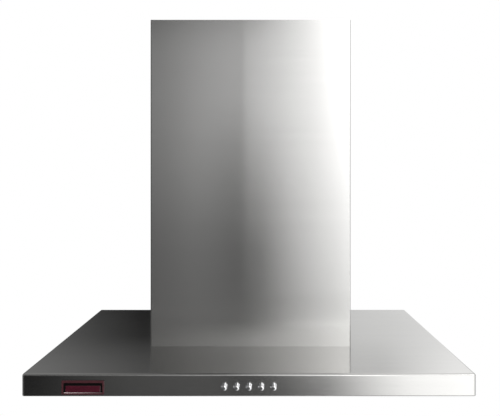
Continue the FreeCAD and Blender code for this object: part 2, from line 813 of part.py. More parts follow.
def filter_latch(side):
    x = side * filter_x
    half = LATCH_WIDTH / 2
    tip = filter_front - LATCH_REACH
    tongue = block(x - half, x + half, tip, latch_back, latch_low, latch_high)
    nose = [
        e for e in tongue.Edges
        if along(e, 0) and at_height(e, latch_high) and abs(e.Vertexes[0].Y - tip) < 1e-6
    ]
    tongue = tongue.makeChamfer(LATCH_THICKNESS / 2, nose)
    stem_front = filter_front + STEM_SETBACK
    stem = block(
        x - STEM_WIDTH / 2, x + STEM_WIDTH / 2, stem_front, stem_front + STEM_LENGTH,
        filter_bottom - LATCH_GAP, latch_low,
    )
    knob_top = filter_bottom - LATCH_GAP
    knob_front = filter_front + KNOB_SETBACK
    knob = block(
        x - KNOB_WIDTH / 2, x + KNOB_WIDTH / 2, knob_front, knob_front + KNOB_LENGTH,
        knob_top - KNOB_HEIGHT, knob_top,
    )
    knob = round_uprights(knob, KNOB_HEIGHT / 2)
    pitch = KNOB_LENGTH / (KNOB_RIBS + 1)
    grooves = [
        block(
            x - KNOB_WIDTH / 2 + KNOB_HEIGHT, x + KNOB_WIDTH / 2 - KNOB_HEIGHT,
            knob_front + (n + 1) * pitch - pitch / 4, knob_front + (n + 1) * pitch + pitch / 4,
            knob_top - KNOB_HEIGHT, knob_top - KNOB_HEIGHT + KNOB_RIB_DEPTH,
        )
        for n in range(KNOB_RIBS)
    ]
    return tongue.fuse([stem, knob]).removeSplitter().cut(grooves)


def latch_spring(side):
    return coil_spring(side * filter_x, latch_z, LATCH_SPRING_RADIUS, latch_back, pocket_back)


def filter_keepers():
    """Spring-steel leaves on the pan that the latch tongues snap over."""
    def keeper(side):
        x = side * filter_x
        half = KEEPER_WIDTH / 2
        top = latch_low - KEEPER_GAP
        riser_front = filter_front - LATCH_REACH - NOTCH_ROOM - KEEPER_SHEET
        foot = block(
            x - half, x + half, riser_front - KEEPER_FOOT, riser_front, pan_top, pan_top + KEEPER_SHEET
        )
        riser = block(x - half, x + half, riser_front, riser_front + KEEPER_SHEET, pan_top, top)
        leaf = block(
            x - half, x + half, riser_front, filter_front - LATCH_REACH + KEEPER_OVERLAP,
            top - KEEPER_SHEET, top,
        )
        return foot.fuse([riser, leaf]).removeSplitter()

    return Part.makeCompound([keeper(-1), keeper(1)])


# Blower box

def box_flange(z0, z1):
    """The outline of the box's foot, as a frame of a given height."""
    outer = wide(
        box_half + BOX_FLANGE, box_front - BOX_FLANGE, -BOX_REAR_CLEARANCE, z0, z1
    )
    inner = wide(box_half - SHEET, box_front + SHEET, -SHEET, z0, z1)
    return outer.cut(inner)


def blower_box():
    outer = wide(box_half, box_front, 0, box_bottom, box_top)
    hollow = wide(box_half - SHEET, box_front + SHEET, -SHEET, box_bottom, box_top - SHEET)
    body = outer.cut(hollow).fuse(box_flange(box_bottom, box_bottom + SHEET)).removeSplitter()
    outlet = rod_z(0, collar_y, collar_bore, box_top - SHEET, box_top)
    wall_holes = [
        rod_y(sx * WALL_HOLES_APART_X / 2, sz * WALL_HOLES_APART_Z / 2, WALL_HOLE_RADIUS, -SHEET, 0)
        for sx in (-1, 1)
        for sz in (-1, 1)
    ]
    return body.cut([outlet] + wall_holes + holes(box_screw_seats() + collar_screw_seats()))


def blower_gasket():
    return box_flange(canopy_top, box_bottom).cut(holes(box_screw_seats()))


def body_screws():
    seats = box_screw_seats() + collar_screw_seats() + chimney_screw_seats()
    return Part.makeCompound([screw(seat, direction) for seat, direction in seats])


# Scroll housing: three quarter arcs of growing radius, then a straight outlet up to the collar

def scroll_profile(inset, top):
    radius = scroll_radius - inset
    step = SCROLL_STEP
    c1 = (axis_y, axis_z)
    c2 = (axis_y - step, axis_z)
    c3 = (axis_y - step, axis_z + step)

    def on(centre, r, degrees):
        a = math.radians(degrees)
        return V(0, centre[0] + r * math.cos(a), centre[1] + r * math.sin(a))

    def quarter(centre, r, start):
        points = [on(centre, r, start - turn) for turn in (0, 45, 90)]
        return Part.Arc(*points).toShape()

    tongue = on(c1, radius, 90)
    outlet_rear = V(0, collar_y + collar_bore + SCROLL_WALL - inset, top)
    front_wall = on(c3, radius + 2 * step, 180)
    outlet_front = V(0, front_wall.y, top)
    lip = V(0, tongue.y - inset, tongue.z)
    edges = [Part.makeLine(outlet_rear, lip)]
    if inset > 0:
        edges.append(Part.makeLine(lip, tongue))
    edges.append(quarter(c1, radius, 90))
    edges.append(quarter(c2, radius + step, 0))
    edges.append(quarter(c3, radius + 2 * step, -90))
    edges += [Part.makeLine(front_wall, outlet_front), Part.makeLine(outlet_front, outlet_rear)]
    return Part.Face(Part.Wire(edges))


def scroll_shell(side):
    """One half of the scroll, split on the impeller's middle plane."""
    outer = scroll_profile(0, scroll_top).extrude(V(side * scroll_half, 0, 0))
    hollow = scroll_profile(SCROLL_WALL, scroll_top + SCROLL_WALL).extrude(
        V(side * (scroll_half - SCROLL_WALL), 0, 0)
    )
    x0, x1 = sorted((0, side * scroll_half))
    return outer.cut([hollow, rod_x(axis_y, axis_z, inlet_radius, x0, x1)])


# Impeller and motor

def blade():
    """One forward-curved blade, at the top of the drum."""
    def polar(r, degrees):
        a = math.radians(90 + degrees)
        return V(-impeller_half, axis_y + r * math.cos(a), axis_z + r * math.sin(a))

    outer = impeller_radius - IMPELLER_RING / 2
    middle = (blade_inner + outer) / 2
    thick = math.degrees(BLADE_THICKNESS / middle)

    def face(shift):
        return [
            polar(blade_inner, shift),
            polar(middle, shift + BLADE_SWEEP_DEG / 2 - BLADE_BULGE_DEG),
            polar(outer, shift + BLADE_SWEEP_DEG),
        ]

    a = face(0)
    b = face(thick)
    near = Part.Arc(*a).toShape()
    far = Part.Arc(*reversed(b)).toShape()
    outline = Part.Wire([near, Part.makeLine(a[2], b[2]), far, Part.makeLine(b[0], a[0])])
    return Part.Face(outline).extrude(V(2 * impeller_half, 0, 0))


def impeller():
    """A double-inlet drum: a middle disc, two end rings and curved blades."""
    disc = rod_x(axis_y, axis_z, impeller_radius, -IMPELLER_DISC / 2, IMPELLER_DISC / 2)
    hub = rod_x(axis_y, axis_z, HUB_RADIUS, hub_start, hub_start + HUB_LENGTH)
    rings = []
    for x0 in (-impeller_half, impeller_half - IMPELLER_RING):
        ring = rod_x(axis_y, axis_z, impeller_radius, x0, x0 + IMPELLER_RING)
        rings.append(ring.cut(rod_x(axis_y, axis_z, blade_inner, x0, x0 + IMPELLER_RING)))
    first = blade()
    blades = []
    for n in range(BLADE_COUNT):
        copy = first.copy()
        copy.rotate(V(0, axis_y, axis_z), V(1, 0, 0), 360 * n / BLADE_COUNT)
        blades.append(copy)
    bore = rod_x(axis_y, axis_z, SHAFT_RADIUS + SHAFT_FIT, hub_start, hub_start + HUB_LENGTH)
    return disc.fuse([hub] + rings + blades).cut(bore)


def motor_shaft():
    nose = hub_start + HUB_LENGTH + SHAFT_NOSE
    return rod_x(axis_y, axis_z, SHAFT_RADIUS, motor_back - SHAFT_TAIL, nose)


def impeller_nut():
    start = hub_start + HUB_LENGTH
    points = [
        V(start, axis_y + NUT_RADIUS * math.cos(math.radians(60 * n)),
          axis_z + NUT_RADIUS * math.sin(math.radians(60 * n)))
        for n in range(7)
    ]
    body = Part.Face(Part.Wire(Part.makePolygon(points))).extrude(V(NUT_LENGTH, 0, 0))
    return body.cut(rod_x(axis_y, axis_z, SHAFT_RADIUS + SHAFT_FIT, start, start + NUT_LENGTH))


def motor_shell(end, split):
    """A cup that holds half of the stator, with a bearing boss in its end wall."""
    inward = 1 if split > end else -1
    wall = end + inward * MOTOR_WALL
    seat = end + inward * BEARING_LENGTH

    def span(a, b, radius):
        return rod_x(axis_y, axis_z, radius, min(a, b), max(a, b))

    cup = span(end, split, MOTOR_RADIUS).cut(span(wall, split, MOTOR_RADIUS - MOTOR_WALL))
    boss = span(end, seat, BEARING_RADIUS + BEARING_GAP + BEARING_BOSS)
    bore = span(end, seat, BEARING_RADIUS + BEARING_GAP)
    return cup.fuse(boss).removeSplitter().cut(bore)


def motor_shell_rear():
    """The rear cup carries the flange that sits on the bracket."""
    start = bracket_x - BRACKET_PLATE - MOTOR_FLANGE_THICKNESS
    flange = rod_x(axis_y, axis_z, MOTOR_RADIUS + MOTOR_FLANGE, start, start + MOTOR_FLANGE_THICKNESS)
    flange = flange.cut(
        rod_x(axis_y, axis_z, MOTOR_RADIUS - MOTOR_WALL / 2, start, start + MOTOR_FLANGE_THICKNESS)
    )
    return motor_shell(motor_back, motor_split).fuse(flange).removeSplitter()


def motor_bearings():
    def bush(x0):
        body = rod_x(axis_y, axis_z, BEARING_RADIUS, x0, x0 + BEARING_LENGTH)
        return body.cut(rod_x(axis_y, axis_z, SHAFT_RADIUS + BEARING_GAP, x0, x0 + BEARING_LENGTH))

    return Part.makeCompound([bush(motor_back), bush(motor_front - BEARING_LENGTH)])


def stator_core():
    x0 = motor_split - STATOR_LENGTH / 2
    x1 = motor_split + STATOR_LENGTH / 2
    body = rod_x(axis_y, axis_z, MOTOR_RADIUS - MOTOR_WALL - STATOR_GAP, x0, x1)
    return body.cut(rod_x(axis_y, axis_z, STATOR_BORE, x0, x1))


def stator_coils():
    """The two wound end turns, one on each face of the core."""
    ring = (STATOR_BORE + MOTOR_RADIUS - MOTOR_WALL) / 2

    def end_turns(x):
        torus = Part.makeTorus(ring, COIL_RADIUS, V(0, 0, 0), V(1, 0, 0))
        torus.translate(V(x, axis_y, axis_z))
        return torus

    low = motor_split - STATOR_LENGTH / 2
    high = motor_split + STATOR_LENGTH / 2
    core = rod_x(axis_y, axis_z, MOTOR_RADIUS, low, high)
    return Part.makeCompound([end_turns(low).cut(core), end_turns(high).cut(core)])


def rotor_core():
    x0 = motor_split - STATOR_LENGTH / 2
    x1 = motor_split + STATOR_LENGTH / 2
    body = rod_x(axis_y, axis_z, STATOR_BORE - ROTOR_GAP, x0, x1)
    return body.cut(rod_x(axis_y, axis_z, SHAFT_RADIUS + SHAFT_FIT, x0, x1))


def arm_places():
    return [90 + 360 * n / BRACKET_ARMS for n in range(BRACKET_ARMS)]


def motor_bracket():
    """A three-armed spider across the left inlet that carries the motor."""
    x0 = bracket_x - BRACKET_PLATE
    outer = inlet_radius + BRACKET_RING
    inner = MOTOR_RADIUS + MOTOR_SEAT_GAP

    def ring(r_out, r_in):
        disc = rod_x(axis_y, axis_z, r_out, x0, bracket_x)
        return disc.cut(rod_x(axis_y, axis_z, r_in, x0, bracket_x))

    arms = []
    for degrees in arm_places():
        arm = block(
            x0, bracket_x, axis_y + inner, axis_y + inlet_radius + BRACKET_RING / 2,
            axis_z - BRACKET_ARM_WIDTH / 2, axis_z + BRACKET_ARM_WIDTH / 2,
        )
        arm.rotate(V(0, axis_y, axis_z), V(1, 0, 0), degrees)
        arms.append(arm)
    hub = rod_x(axis_y, axis_z, inner, x0, bracket_x)
    plate = ring(outer, inlet_radius).fuse([ring(inner + MOTOR_FLANGE, inner)] + arms)
    return plate.removeSplitter().cut(hub)


def motor_bushes():
    """Rubber discs between the bracket and the scroll that keep hum out of the housing."""
    def bush(degrees):
        a = math.radians(degrees)
        y = axis_y + bush_circle * math.cos(a)
        z = axis_z + bush_circle * math.sin(a)
        return rod_x(y, z, BUSH_RADIUS, bracket_x, -scroll_half)

    return Part.makeCompound([bush(d) for d in arm_places()])


def capacitor():
    """The motor's run capacitor, stud-mounted inside the box's right wall."""
    wall = box_half - SHEET
    y = -CAPACITOR_FROM_WALL
    z = box_top - CAPACITOR_BELOW_TOP
    can = rod_x(y, z, CAPACITOR_RADIUS, wall - CAPACITOR_LENGTH, wall)
    rim = [e for e in can.Edges if all(abs(v.X - wall + CAPACITOR_LENGTH) < 1e-6 for v in e.Vertexes)]
    return can.makeFillet(SHEET, rim)


# Outlet

def collar_plate():
    """The square plate under the spigot, screwed to the top of the blower box."""
    half = collar_flange_half
    plate = block(-half, half, collar_y - half, collar_y + half, box_top, collar_base)
    plate = round_uprights(plate, COLLAR_FLANGE / 2)
    bore = rod_z(0, collar_y, collar_bore, box_top, collar_base)
    return plate.cut([bore] + holes(collar_screw_seats()))


def outlet_collar():
    """The round spigot that the duct slides over, with a seat for the flaps inside."""
    tube = rod_z(0, collar_y, COLLAR_RADIUS, collar_base, collar_base + COLLAR_HEIGHT)
    bore = rod_z(0, collar_y, collar_bore, collar_base, collar_base + COLLAR_HEIGHT)
    seat_low = flap_seat_top - FLAP_SEAT_THICKNESS
    seat = rod_z(0, collar_y, collar_bore, seat_low, flap_seat_top).cut(
        rod_z(0, collar_y, collar_bore - FLAP_SEAT_WIDTH, seat_low, flap_seat_top)
    )
    pin_hole = rod_x(collar_y, flap_z, FLAP_PIN_RADIUS + FLAP_PIN_GAP, -COLLAR_RADIUS, COLLAR_RADIUS)
    return tube.cut(bore).fuse(seat).removeSplitter().cut(pin_hole)


def damper_pin():
    half = COLLAR_RADIUS - COLLAR_WALL / 4
    return rod_x(collar_y, flap_z, FLAP_PIN_RADIUS, -half, half)


def damper_flap(side):
    """A half disc on the pin: side -1 is the front flap, +1 the rear one."""
    low = flap_z - FLAP_THICKNESS / 2
    high = flap_z + FLAP_THICKNESS / 2
    radius = collar_bore - FLAP_GAP
    root = collar_y + side * FLAP_ROOT
    edge = collar_y + side * radius
    disc = rod_z(0, collar_y, radius, low, high)
    plate = disc.common(wide(radius, *sorted((root, edge)), low, high))
    pitch = FLAP_KNUCKLE_SPAN / FLAP_KNUCKLES
    pieces = []
    for n in range(0 if side < 0 else 1, FLAP_KNUCKLES, 2):
        x0 = -FLAP_KNUCKLE_SPAN / 2 + n * pitch + FLAP_KNUCKLE_GAP / 2
        x1 = x0 + pitch - FLAP_KNUCKLE_GAP
        pieces.append(rod_x(collar_y, flap_z, FLAP_KNUCKLE_RADIUS, x0, x1))
        pieces.append(block(x0, x1, *sorted((collar_y, root)), low, high))
    body = plate.fuse(pieces).removeSplitter()
    return body.cut(rod_x(collar_y, flap_z, FLAP_PIN_RADIUS + FLAP_PIN_GAP, -radius, radius))


# Chimney covers

def chimney_cover(half, y0, y1, z0, z1, radius):
    """A folded cover, open at the top, with returns along its two rear edges."""
    outer = round_uprights(wide(half, y0, y1, z0, z1), radius)
    hollow = round_uprights(
        wide(half - SHEET, y0 + SHEET, y1 - SHEET, z0, z1), radius - SHEET
    )
    back = wide(half - CHIMNEY_RETURN, y1 - SHEET, y1, z0, z1)
    return outer.cut([hollow, back])


def lower_chimney():
    """The outer cover, with an inward foot that the upper cover rests on."""
    cover = chimney_cover(chimney_half, -CHIMNEY_DEPTH, 0, canopy_top, chimney_top, CHIMNEY_BEND)
    inside = wide(chimney_half - SHEET, -CHIMNEY_DEPTH + SHEET, -SHEET, canopy_top, canopy_top + SHEET)
    inside = round_uprights(inside, CHIMNEY_BEND - SHEET)
    reach = CHIMNEY_RETURN
    gap = wide(chimney_half - reach, -CHIMNEY_DEPTH + reach, 0, canopy_top, canopy_top + SHEET)
    foot = inside.cut(gap)
    return cover.fuse(foot).removeSplitter().cut(holes(chimney_screw_seats()))


def upper_chimney():
    """The inner cover, which slides up; its vents are for hoods that return the air to the room."""
    cover = chimney_cover(
        upper_half, upper_front, upper_rear, upper_bottom, upper_top, CHIMNEY_BEND - SHEET / 2
    )
    middle = (upper_front + upper_rear) / 2
    vents = []
    for side in (-1, 1):
        for n in range(VENT_ROWS):
            z = upper_top - VENT_BELOW_TOP - n * VENT_PITCH
            x0, x1 = sorted((side * upper_half, side * (upper_half - SHEET)))
            slot = block(x0, x1, middle - VENT_LENGTH / 2, middle + VENT_LENGTH / 2, z, z + VENT_HEIGHT)
            ends = [e for e in slot.Edges if along(e, 0)]
            vents.append(slot.makeFillet(VENT_HEIGHT * 0.49, ends))
    return cover.cut(vents + holes(bracket_screw_seats()))


def chimney_bracket():
    """The strip across the back of the upper cover that is screwed to the wall."""
    half = upper_half - SHEET - BRACKET_SIDE_GAP
    y1 = upper_rear - SHEET
    y0 = y1 - BRACKET_SHEET
    high = upper_top - BRACKET_BELOW_TOP
    middle = high - BRACKET_HEIGHT / 2
    strip = wide(half, y0, y1, high - BRACKET_HEIGHT, high)
    places = [side * BRACKET_HOLES_APART / 2 for side in (-1, 1)]
    pads = [rod_y(x, middle, BRACKET_PAD_RADIUS, y1, 0) for x in places]
    bores = [rod_y(x, middle, BRACKET_HOLE_RADIUS, y0, 0) for x in places]
    return strip.fuse(pads).cut(bores + holes(bracket_screw_seats()))


def bracket_screws():
    return Part.makeCompound([bracket_screw(seat) for seat, _ in bracket_screw_seats()])


def bracket_screw(seat):
    """A short screw that ends flush with the cover's rear return."""
    body = screw(seat, BACK)
    beyond = block(
        seat.x - SCREW_HEAD_RADIUS, seat.x + SCREW_HEAD_RADIUS, upper_rear, SCREW_LENGTH,
        seat.z - SCREW_HEAD_RADIUS, seat.z + SCREW_HEAD_RADIUS,
    )
    return body.cut(beyond)


# Electrics on the front of the blower box

def terminal_span():
    high = box_top - TERMINAL_BELOW_TOP
    return high - TERMINAL_HEIGHT, high


def terminal_box():
    low, high = terminal_span()
    outer = wide(TERMINAL_WIDTH / 2, box_front - TERMINAL_DEPTH, box_front, low, high)
    hollow = wide(
        TERMINAL_WIDTH / 2 - TERMINAL_WALL, box_front - TERMINAL_DEPTH, box_front - TERMINAL_WALL,
        low + TERMINAL_WALL, high - TERMINAL_WALL,
    )
    inlet = rod_z(0, box_front - TERMINAL_DEPTH / 2, GLAND_BORE, high - TERMINAL_WALL, high)
    return outer.cut([hollow, inlet])


def terminal_lid():
    low, high = terminal_span()
    outer_y = box_front - TERMINAL_DEPTH - TERMINAL_WALL
    return wide(TERMINAL_WIDTH / 2, outer_y, outer_y + TERMINAL_WALL, low, high)


def cable_gland():
    """The supply lead's entry: a round nut with a bore, on top of the terminal box."""
    high = terminal_span()[1]
    y = box_front - TERMINAL_DEPTH / 2
    body = rod_z(0, y, GLAND_RADIUS, high, high + GLAND_HEIGHT)
    top = [e for e in body.Edges if at_height(e, high + GLAND_HEIGHT)]
    body = body.makeChamfer(GLAND_BORE / 2, top)
    return body.cut(rod_z(0, y, GLAND_BORE, high, high + GLAND_HEIGHT))


# Export

def all_pieces():
    pieces = {
        "canopy_shell": canopy_shell(),
        "badge_plate": badge_plate(),
        "underside_pan": underside_pan(),
        "pan_rails": pan_rails(),
        "pan_screws": Part.makeCompound([screw(*seat) for seat in pan_screw_seats()]),
        "button_guide": button_guide(),
        "button_springs": button_springs(),
        "switch_block": switch_block(),
        "lamp_sockets": lamp_sockets(),
        "lamp_capsules": lamp_capsules(),
        "lamp_transformer": lamp_transformer(),
        "filter_keepers": filter_keepers(),
        "blower_box": blower_box(),
        "blower_gasket": blower_gasket(),
        "body_screws": body_screws(),
        "scroll_left": scroll_shell(-1),
        "scroll_right": scroll_shell(1),
        "impeller": impeller(),
        "impeller_nut": impeller_nut(),
        "motor_shaft": motor_shaft(),
        "rotor_core": rotor_core(),
        "stator_core": stator_core(),
        "stator_coils": stator_coils(),
        "motor_shell_front": motor_shell(motor_front, motor_split),
        "motor_shell_rear": motor_shell_rear(),
        "motor_bearings": motor_bearings(),
        "motor_bracket": motor_bracket(),
        "motor_bushes": motor_bushes(),
        "capacitor": capacitor(),
        "collar_plate": collar_plate(),
        "outlet_collar": outlet_collar(),
        "damper_pin": damper_pin(),
        "damper_flap_front": damper_flap(-1),
        "damper_flap_rear": damper_flap(1),
        "lower_chimney": lower_chimney(),
        "upper_chimney": upper_chimney(),
        "chimney_bracket": chimney_bracket(),
        "bracket_screws": bracket_screws(),
        "terminal_box": terminal_box(),
        "terminal_lid": terminal_lid(),
        "cable_gland": cable_gland(),
    }
    for name, x in zip(BUTTON_NAMES, button_places()):
        pieces["button_" + name] = button(x)
    paired = {
        "lamp_ring": lamp_ring,
        "lamp_glass": lamp_glass,
        "lamp_housing": lamp_housing,
        "filter_frame": filter_frame,
        "filter_mesh": filter_mesh,
        "filter_latch": filter_latch,
        "latch_spring": latch_spring,
    }
    for name, make in paired.items():
        for side, shape in sides(make).items():
            pieces[f"{name}_{side}"] = shape
    return pieces


def main():
    os.makedirs("parts", exist_ok=True)
    pieces = all_pieces()
    for name, shape in pieces.items():
        solids = shape.Solids
        state = "sound" if all(s.isValid() and s.Volume > 0 for s in solids) else "BROKEN"
        print(f"{name}: {len(solids)} solid(s), {shape.Volume / 1000:.2f} cm3, {state}")
        shape.exportStep(f"parts/{name}.step")
    print(len(pieces), "nodes")


main()
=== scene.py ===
# %% [markdown]
# # A flat range hood, dressed for its photograph
# The hood is a thin steel canopy with a box chimney on it. Its metalwork is
# already exact in the imported model, so this lesson keeps those parts where
# they are and gives them finishes. Only two things are modelled anew: the
# enamelled badge and the expanded metal in the grease filters. The springs are
# copied into pieces of their own.

# %% Load the imported model
import json
import math

import bmesh
import bpy
from mathutils import Matrix, Vector

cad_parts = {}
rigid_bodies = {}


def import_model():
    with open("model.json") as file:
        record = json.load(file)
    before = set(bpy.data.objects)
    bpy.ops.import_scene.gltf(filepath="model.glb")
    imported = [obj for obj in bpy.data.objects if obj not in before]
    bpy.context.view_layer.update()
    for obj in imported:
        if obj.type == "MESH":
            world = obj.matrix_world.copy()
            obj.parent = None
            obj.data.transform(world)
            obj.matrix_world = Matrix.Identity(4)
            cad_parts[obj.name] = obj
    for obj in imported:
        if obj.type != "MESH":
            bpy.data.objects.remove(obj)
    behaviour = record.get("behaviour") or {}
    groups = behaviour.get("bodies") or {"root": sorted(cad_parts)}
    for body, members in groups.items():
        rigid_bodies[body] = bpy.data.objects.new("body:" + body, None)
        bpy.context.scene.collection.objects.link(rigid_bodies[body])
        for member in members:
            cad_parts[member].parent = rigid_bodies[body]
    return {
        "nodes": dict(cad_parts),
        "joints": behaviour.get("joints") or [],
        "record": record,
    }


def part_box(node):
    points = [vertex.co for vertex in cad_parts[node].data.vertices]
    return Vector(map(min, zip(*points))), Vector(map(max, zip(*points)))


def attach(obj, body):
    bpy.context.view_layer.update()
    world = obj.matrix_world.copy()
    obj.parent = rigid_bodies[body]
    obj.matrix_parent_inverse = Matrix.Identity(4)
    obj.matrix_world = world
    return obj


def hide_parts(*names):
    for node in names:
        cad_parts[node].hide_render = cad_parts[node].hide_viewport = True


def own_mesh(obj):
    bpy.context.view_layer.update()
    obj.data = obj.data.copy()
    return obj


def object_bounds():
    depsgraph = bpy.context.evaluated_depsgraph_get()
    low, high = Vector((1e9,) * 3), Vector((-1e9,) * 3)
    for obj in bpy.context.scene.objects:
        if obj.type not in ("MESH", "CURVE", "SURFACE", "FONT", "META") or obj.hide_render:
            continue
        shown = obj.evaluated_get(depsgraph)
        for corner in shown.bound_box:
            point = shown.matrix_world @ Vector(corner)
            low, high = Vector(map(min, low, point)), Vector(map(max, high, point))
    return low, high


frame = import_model()
cad_box = [list(corner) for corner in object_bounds()]
print("CAD box:", cad_box)

# %% [markdown]
# ## The camera
# The picture is taken square on: the canopy's front edges stay level, and its
# sides run to one vanishing point on the chimney. A camera that looks straight
# along +Y gives that. The vanishing point lies off the middle of the picture,
# which a lens shift makes without tilting the camera.

# %% Place the camera
IMAGE_WIDTH, IMAGE_HEIGHT = 500, 416
FOCAL_PIXELS = 688.7
VANISHING_POINT = (260.3, 180.0)
CAMERA_PLACE = (0.0149, -1.359, 0.1107)

lens = bpy.data.cameras.new("photo_lens")
lens.lens = lens.sensor_width * FOCAL_PIXELS / IMAGE_WIDTH
lens.shift_x = (IMAGE_WIDTH / 2 - VANISHING_POINT[0]) / IMAGE_WIDTH
lens.shift_y = (VANISHING_POINT[1] - IMAGE_HEIGHT / 2) / IMAGE_WIDTH
camera = bpy.data.objects.new("photo_camera", lens)
camera.location = CAMERA_PLACE
camera.rotation_euler = (math.radians(90), 0, 0)
bpy.context.scene.collection.objects.link(camera)
bpy.context.scene.camera = camera
bpy.context.scene.view_settings.view_transform = "Standard"
print("lens:", round(lens.lens, 2), "mm")

# %% [markdown]
# ## Shader sums in plain Python
# A finish is a small network of nodes. Written node by node it is hard to
# read, so one class wraps an output socket and turns +, -, * and / into Math
# nodes. Every other node comes from a single method that takes the node's
# type, its settings and what goes into its sockets.

# %% A socket that can be added and multiplied
class Wire:
    def __init__(self, graph, socket):
        self.graph = graph
        self.socket = socket

    def math(self, operation, *values):
        return self.graph.node("ShaderNodeMath", {"operation": operation}, dict(enumerate(values)))

    def __add__(self, other):
        return self.math("ADD", self, other)

    def __sub__(self, other):
        return self.math("SUBTRACT", self, other)

    def __rsub__(self, other):
        return self.math("SUBTRACT", other, self)

    def __mul__(self, other):
        return self.math("MULTIPLY", self, other)

    def __truediv__(self, other):
        return self.math("DIVIDE", self, other)

    def __rtruediv__(self, other):
        return self.math("DIVIDE", other, self)

    def __abs__(self):
        return self.math("ABSOLUTE", self)

    def at_least(self, other):
        return self.math("MAXIMUM", self, other)

    def fraction(self):
        return self.math("FRACT", self)

    __radd__ = __add__
    __rmul__ = __mul__

# %% A graph that makes every node
def grey(level):
    return (level, level, level, 1)

class Graph:
    def __init__(self, tree):
        self.tree = tree
        tree.nodes.clear()

    def node(self, kind, settings=None, sockets=None, output=0):
        made = self.tree.nodes.new(kind)
        for name, value in (settings or {}).items():
            if name == "stops":
                self.set_stops(made.color_ramp, value)
            else:
                setattr(made, name, value)
        for key, value in (sockets or {}).items():
            if isinstance(value, Wire):
                self.tree.links.new(value.socket, made.inputs[key])
            else:
                made.inputs[key].default_value = value
        return Wire(self, made.outputs[output]) if made.outputs else None

    def set_stops(self, ramp, stops):
        while len(ramp.elements) < len(stops):
            ramp.elements.new(1.0)
        for element, (place, level) in zip(ramp.elements, stops):
            element.position = place
            element.color = grey(level)

    def axes(self, vector):
        return [self.node("ShaderNodeSeparateXYZ", {}, {0: vector}, n) for n in range(3)]

    def vector(self, x, y, z=0.0):
        return self.node("ShaderNodeCombineXYZ", {}, {0: x, 1: y, 2: z})

    def smooth(self, value, low, high):
        return self.node(
            "ShaderNodeMapRange", {"interpolation_type": "SMOOTHSTEP"},
            {"Value": value, "From Min": low, "From Max": high})

    def ramp(self, value, stops):
        return self.node("ShaderNodeValToRGB", {"stops": stops}, {"Fac": value})

    def mix(self, share, first, second):
        return self.node("ShaderNodeMix", {"data_type": "RGBA"}, {0: share, 6: first, 7: second}, 2)

    def blend(self, value, between, first, second):
        return self.mix(self.smooth(value, *between), first, second)

    def noise(self, vector, scale, detail=2.0, roughness=0.5):
        return self.node(
            "ShaderNodeTexNoise", {},
            {"Vector": vector, "Scale": scale, "Detail": detail, "Roughness": roughness})

    def cells(self, vector, scale, output="Distance"):
        return self.node("ShaderNodeTexVoronoi", {}, {"Vector": vector, "Scale": scale}, output)

    def bump(self, height, distance):
        return self.node(
            "ShaderNodeBump", {}, {"Strength": 1.0, "Distance": distance, "Height": height})

# %% A finish is a graph on a material
class Finish(Graph):
    def __init__(self, name):
        self.material = bpy.data.materials.new(name)
        self.material.use_nodes = True
        super().__init__(self.material.node_tree)
        self.place = self.node("ShaderNodeTexCoord", output="Object")
        self.facing = self.node("ShaderNodeTexCoord", output="Normal")

    def surface(self, **sockets):
        named = {name.replace("_", " "): value for name, value in sockets.items()}
        shader = self.node("ShaderNodeBsdfPrincipled", {}, named)
        self.node("ShaderNodeOutputMaterial", {}, {"Surface": shader})
        return self.material

finishes = {}
print("shader helpers ready")

# %% [markdown]
# ## Brushed stainless steel
# The sheet is ground with a belt before it is folded, so fine scratches run
# along each panel: left to right on the front and top, front to back on the
# sides. A reflection is then smeared across the grain and stays sharp along
# it, which is what makes the chimney show soft upright bars of light. Noise
# that is stretched a few hundred times along the grain gives the scratches,
# and a bump makes them tilt the surface, with a few deeper gouges among them.
#
# Between the scratches the sheet keeps flat plateaus that still mirror sharply,
# which is why one bar of light on the chimney has a crisp edge. A clear coat
# stands for them, and the metal under it is a little darker, so that the two
# together stay as bright. Seen at a slant, and on the front band, the sheet is
# smoother still.

# %% Steel sheet with its grain
# How often the streaks change per metre, along the grain and across it.
GRAIN_ALONG = 7.0
GRAIN_ACROSS = 1700.0
BAND_ALONG = 1.3
BAND_ACROSS = 55.0
GOUGE_ALONG = 22.0
GOUGE_ACROSS = 5000.0
GOUGE_SHARE = 0.5
SCRATCH_DEPTH = 0.000007

# Between which values each mask goes from nothing to full.
SIDE_FACING = (0.6, 0.8)
GOUGE_LEVELS = (0.58, 0.76)
HANDLING_LEVELS = (0.35, 0.75)
SLANT_LEVELS = (0.5, 0.75)

# What the slant and the front band take off the sheet's roughness.
SHEET_ROUGHNESS = 0.135
SLANT_GLOSS = 0.085
FRONT_GLOSS = 0.05

# Where the front band ends, and over what heights the plateaus come in.
FRONT, BOTTOM = cad_box[0][1:]
FRONT_BAND = (FRONT + 0.012, FRONT + 0.009)
PLATEAUS_RISE = (BOTTOM + 0.075, BOTTOM + 0.195)
PLATEAU_IOR = 2.0

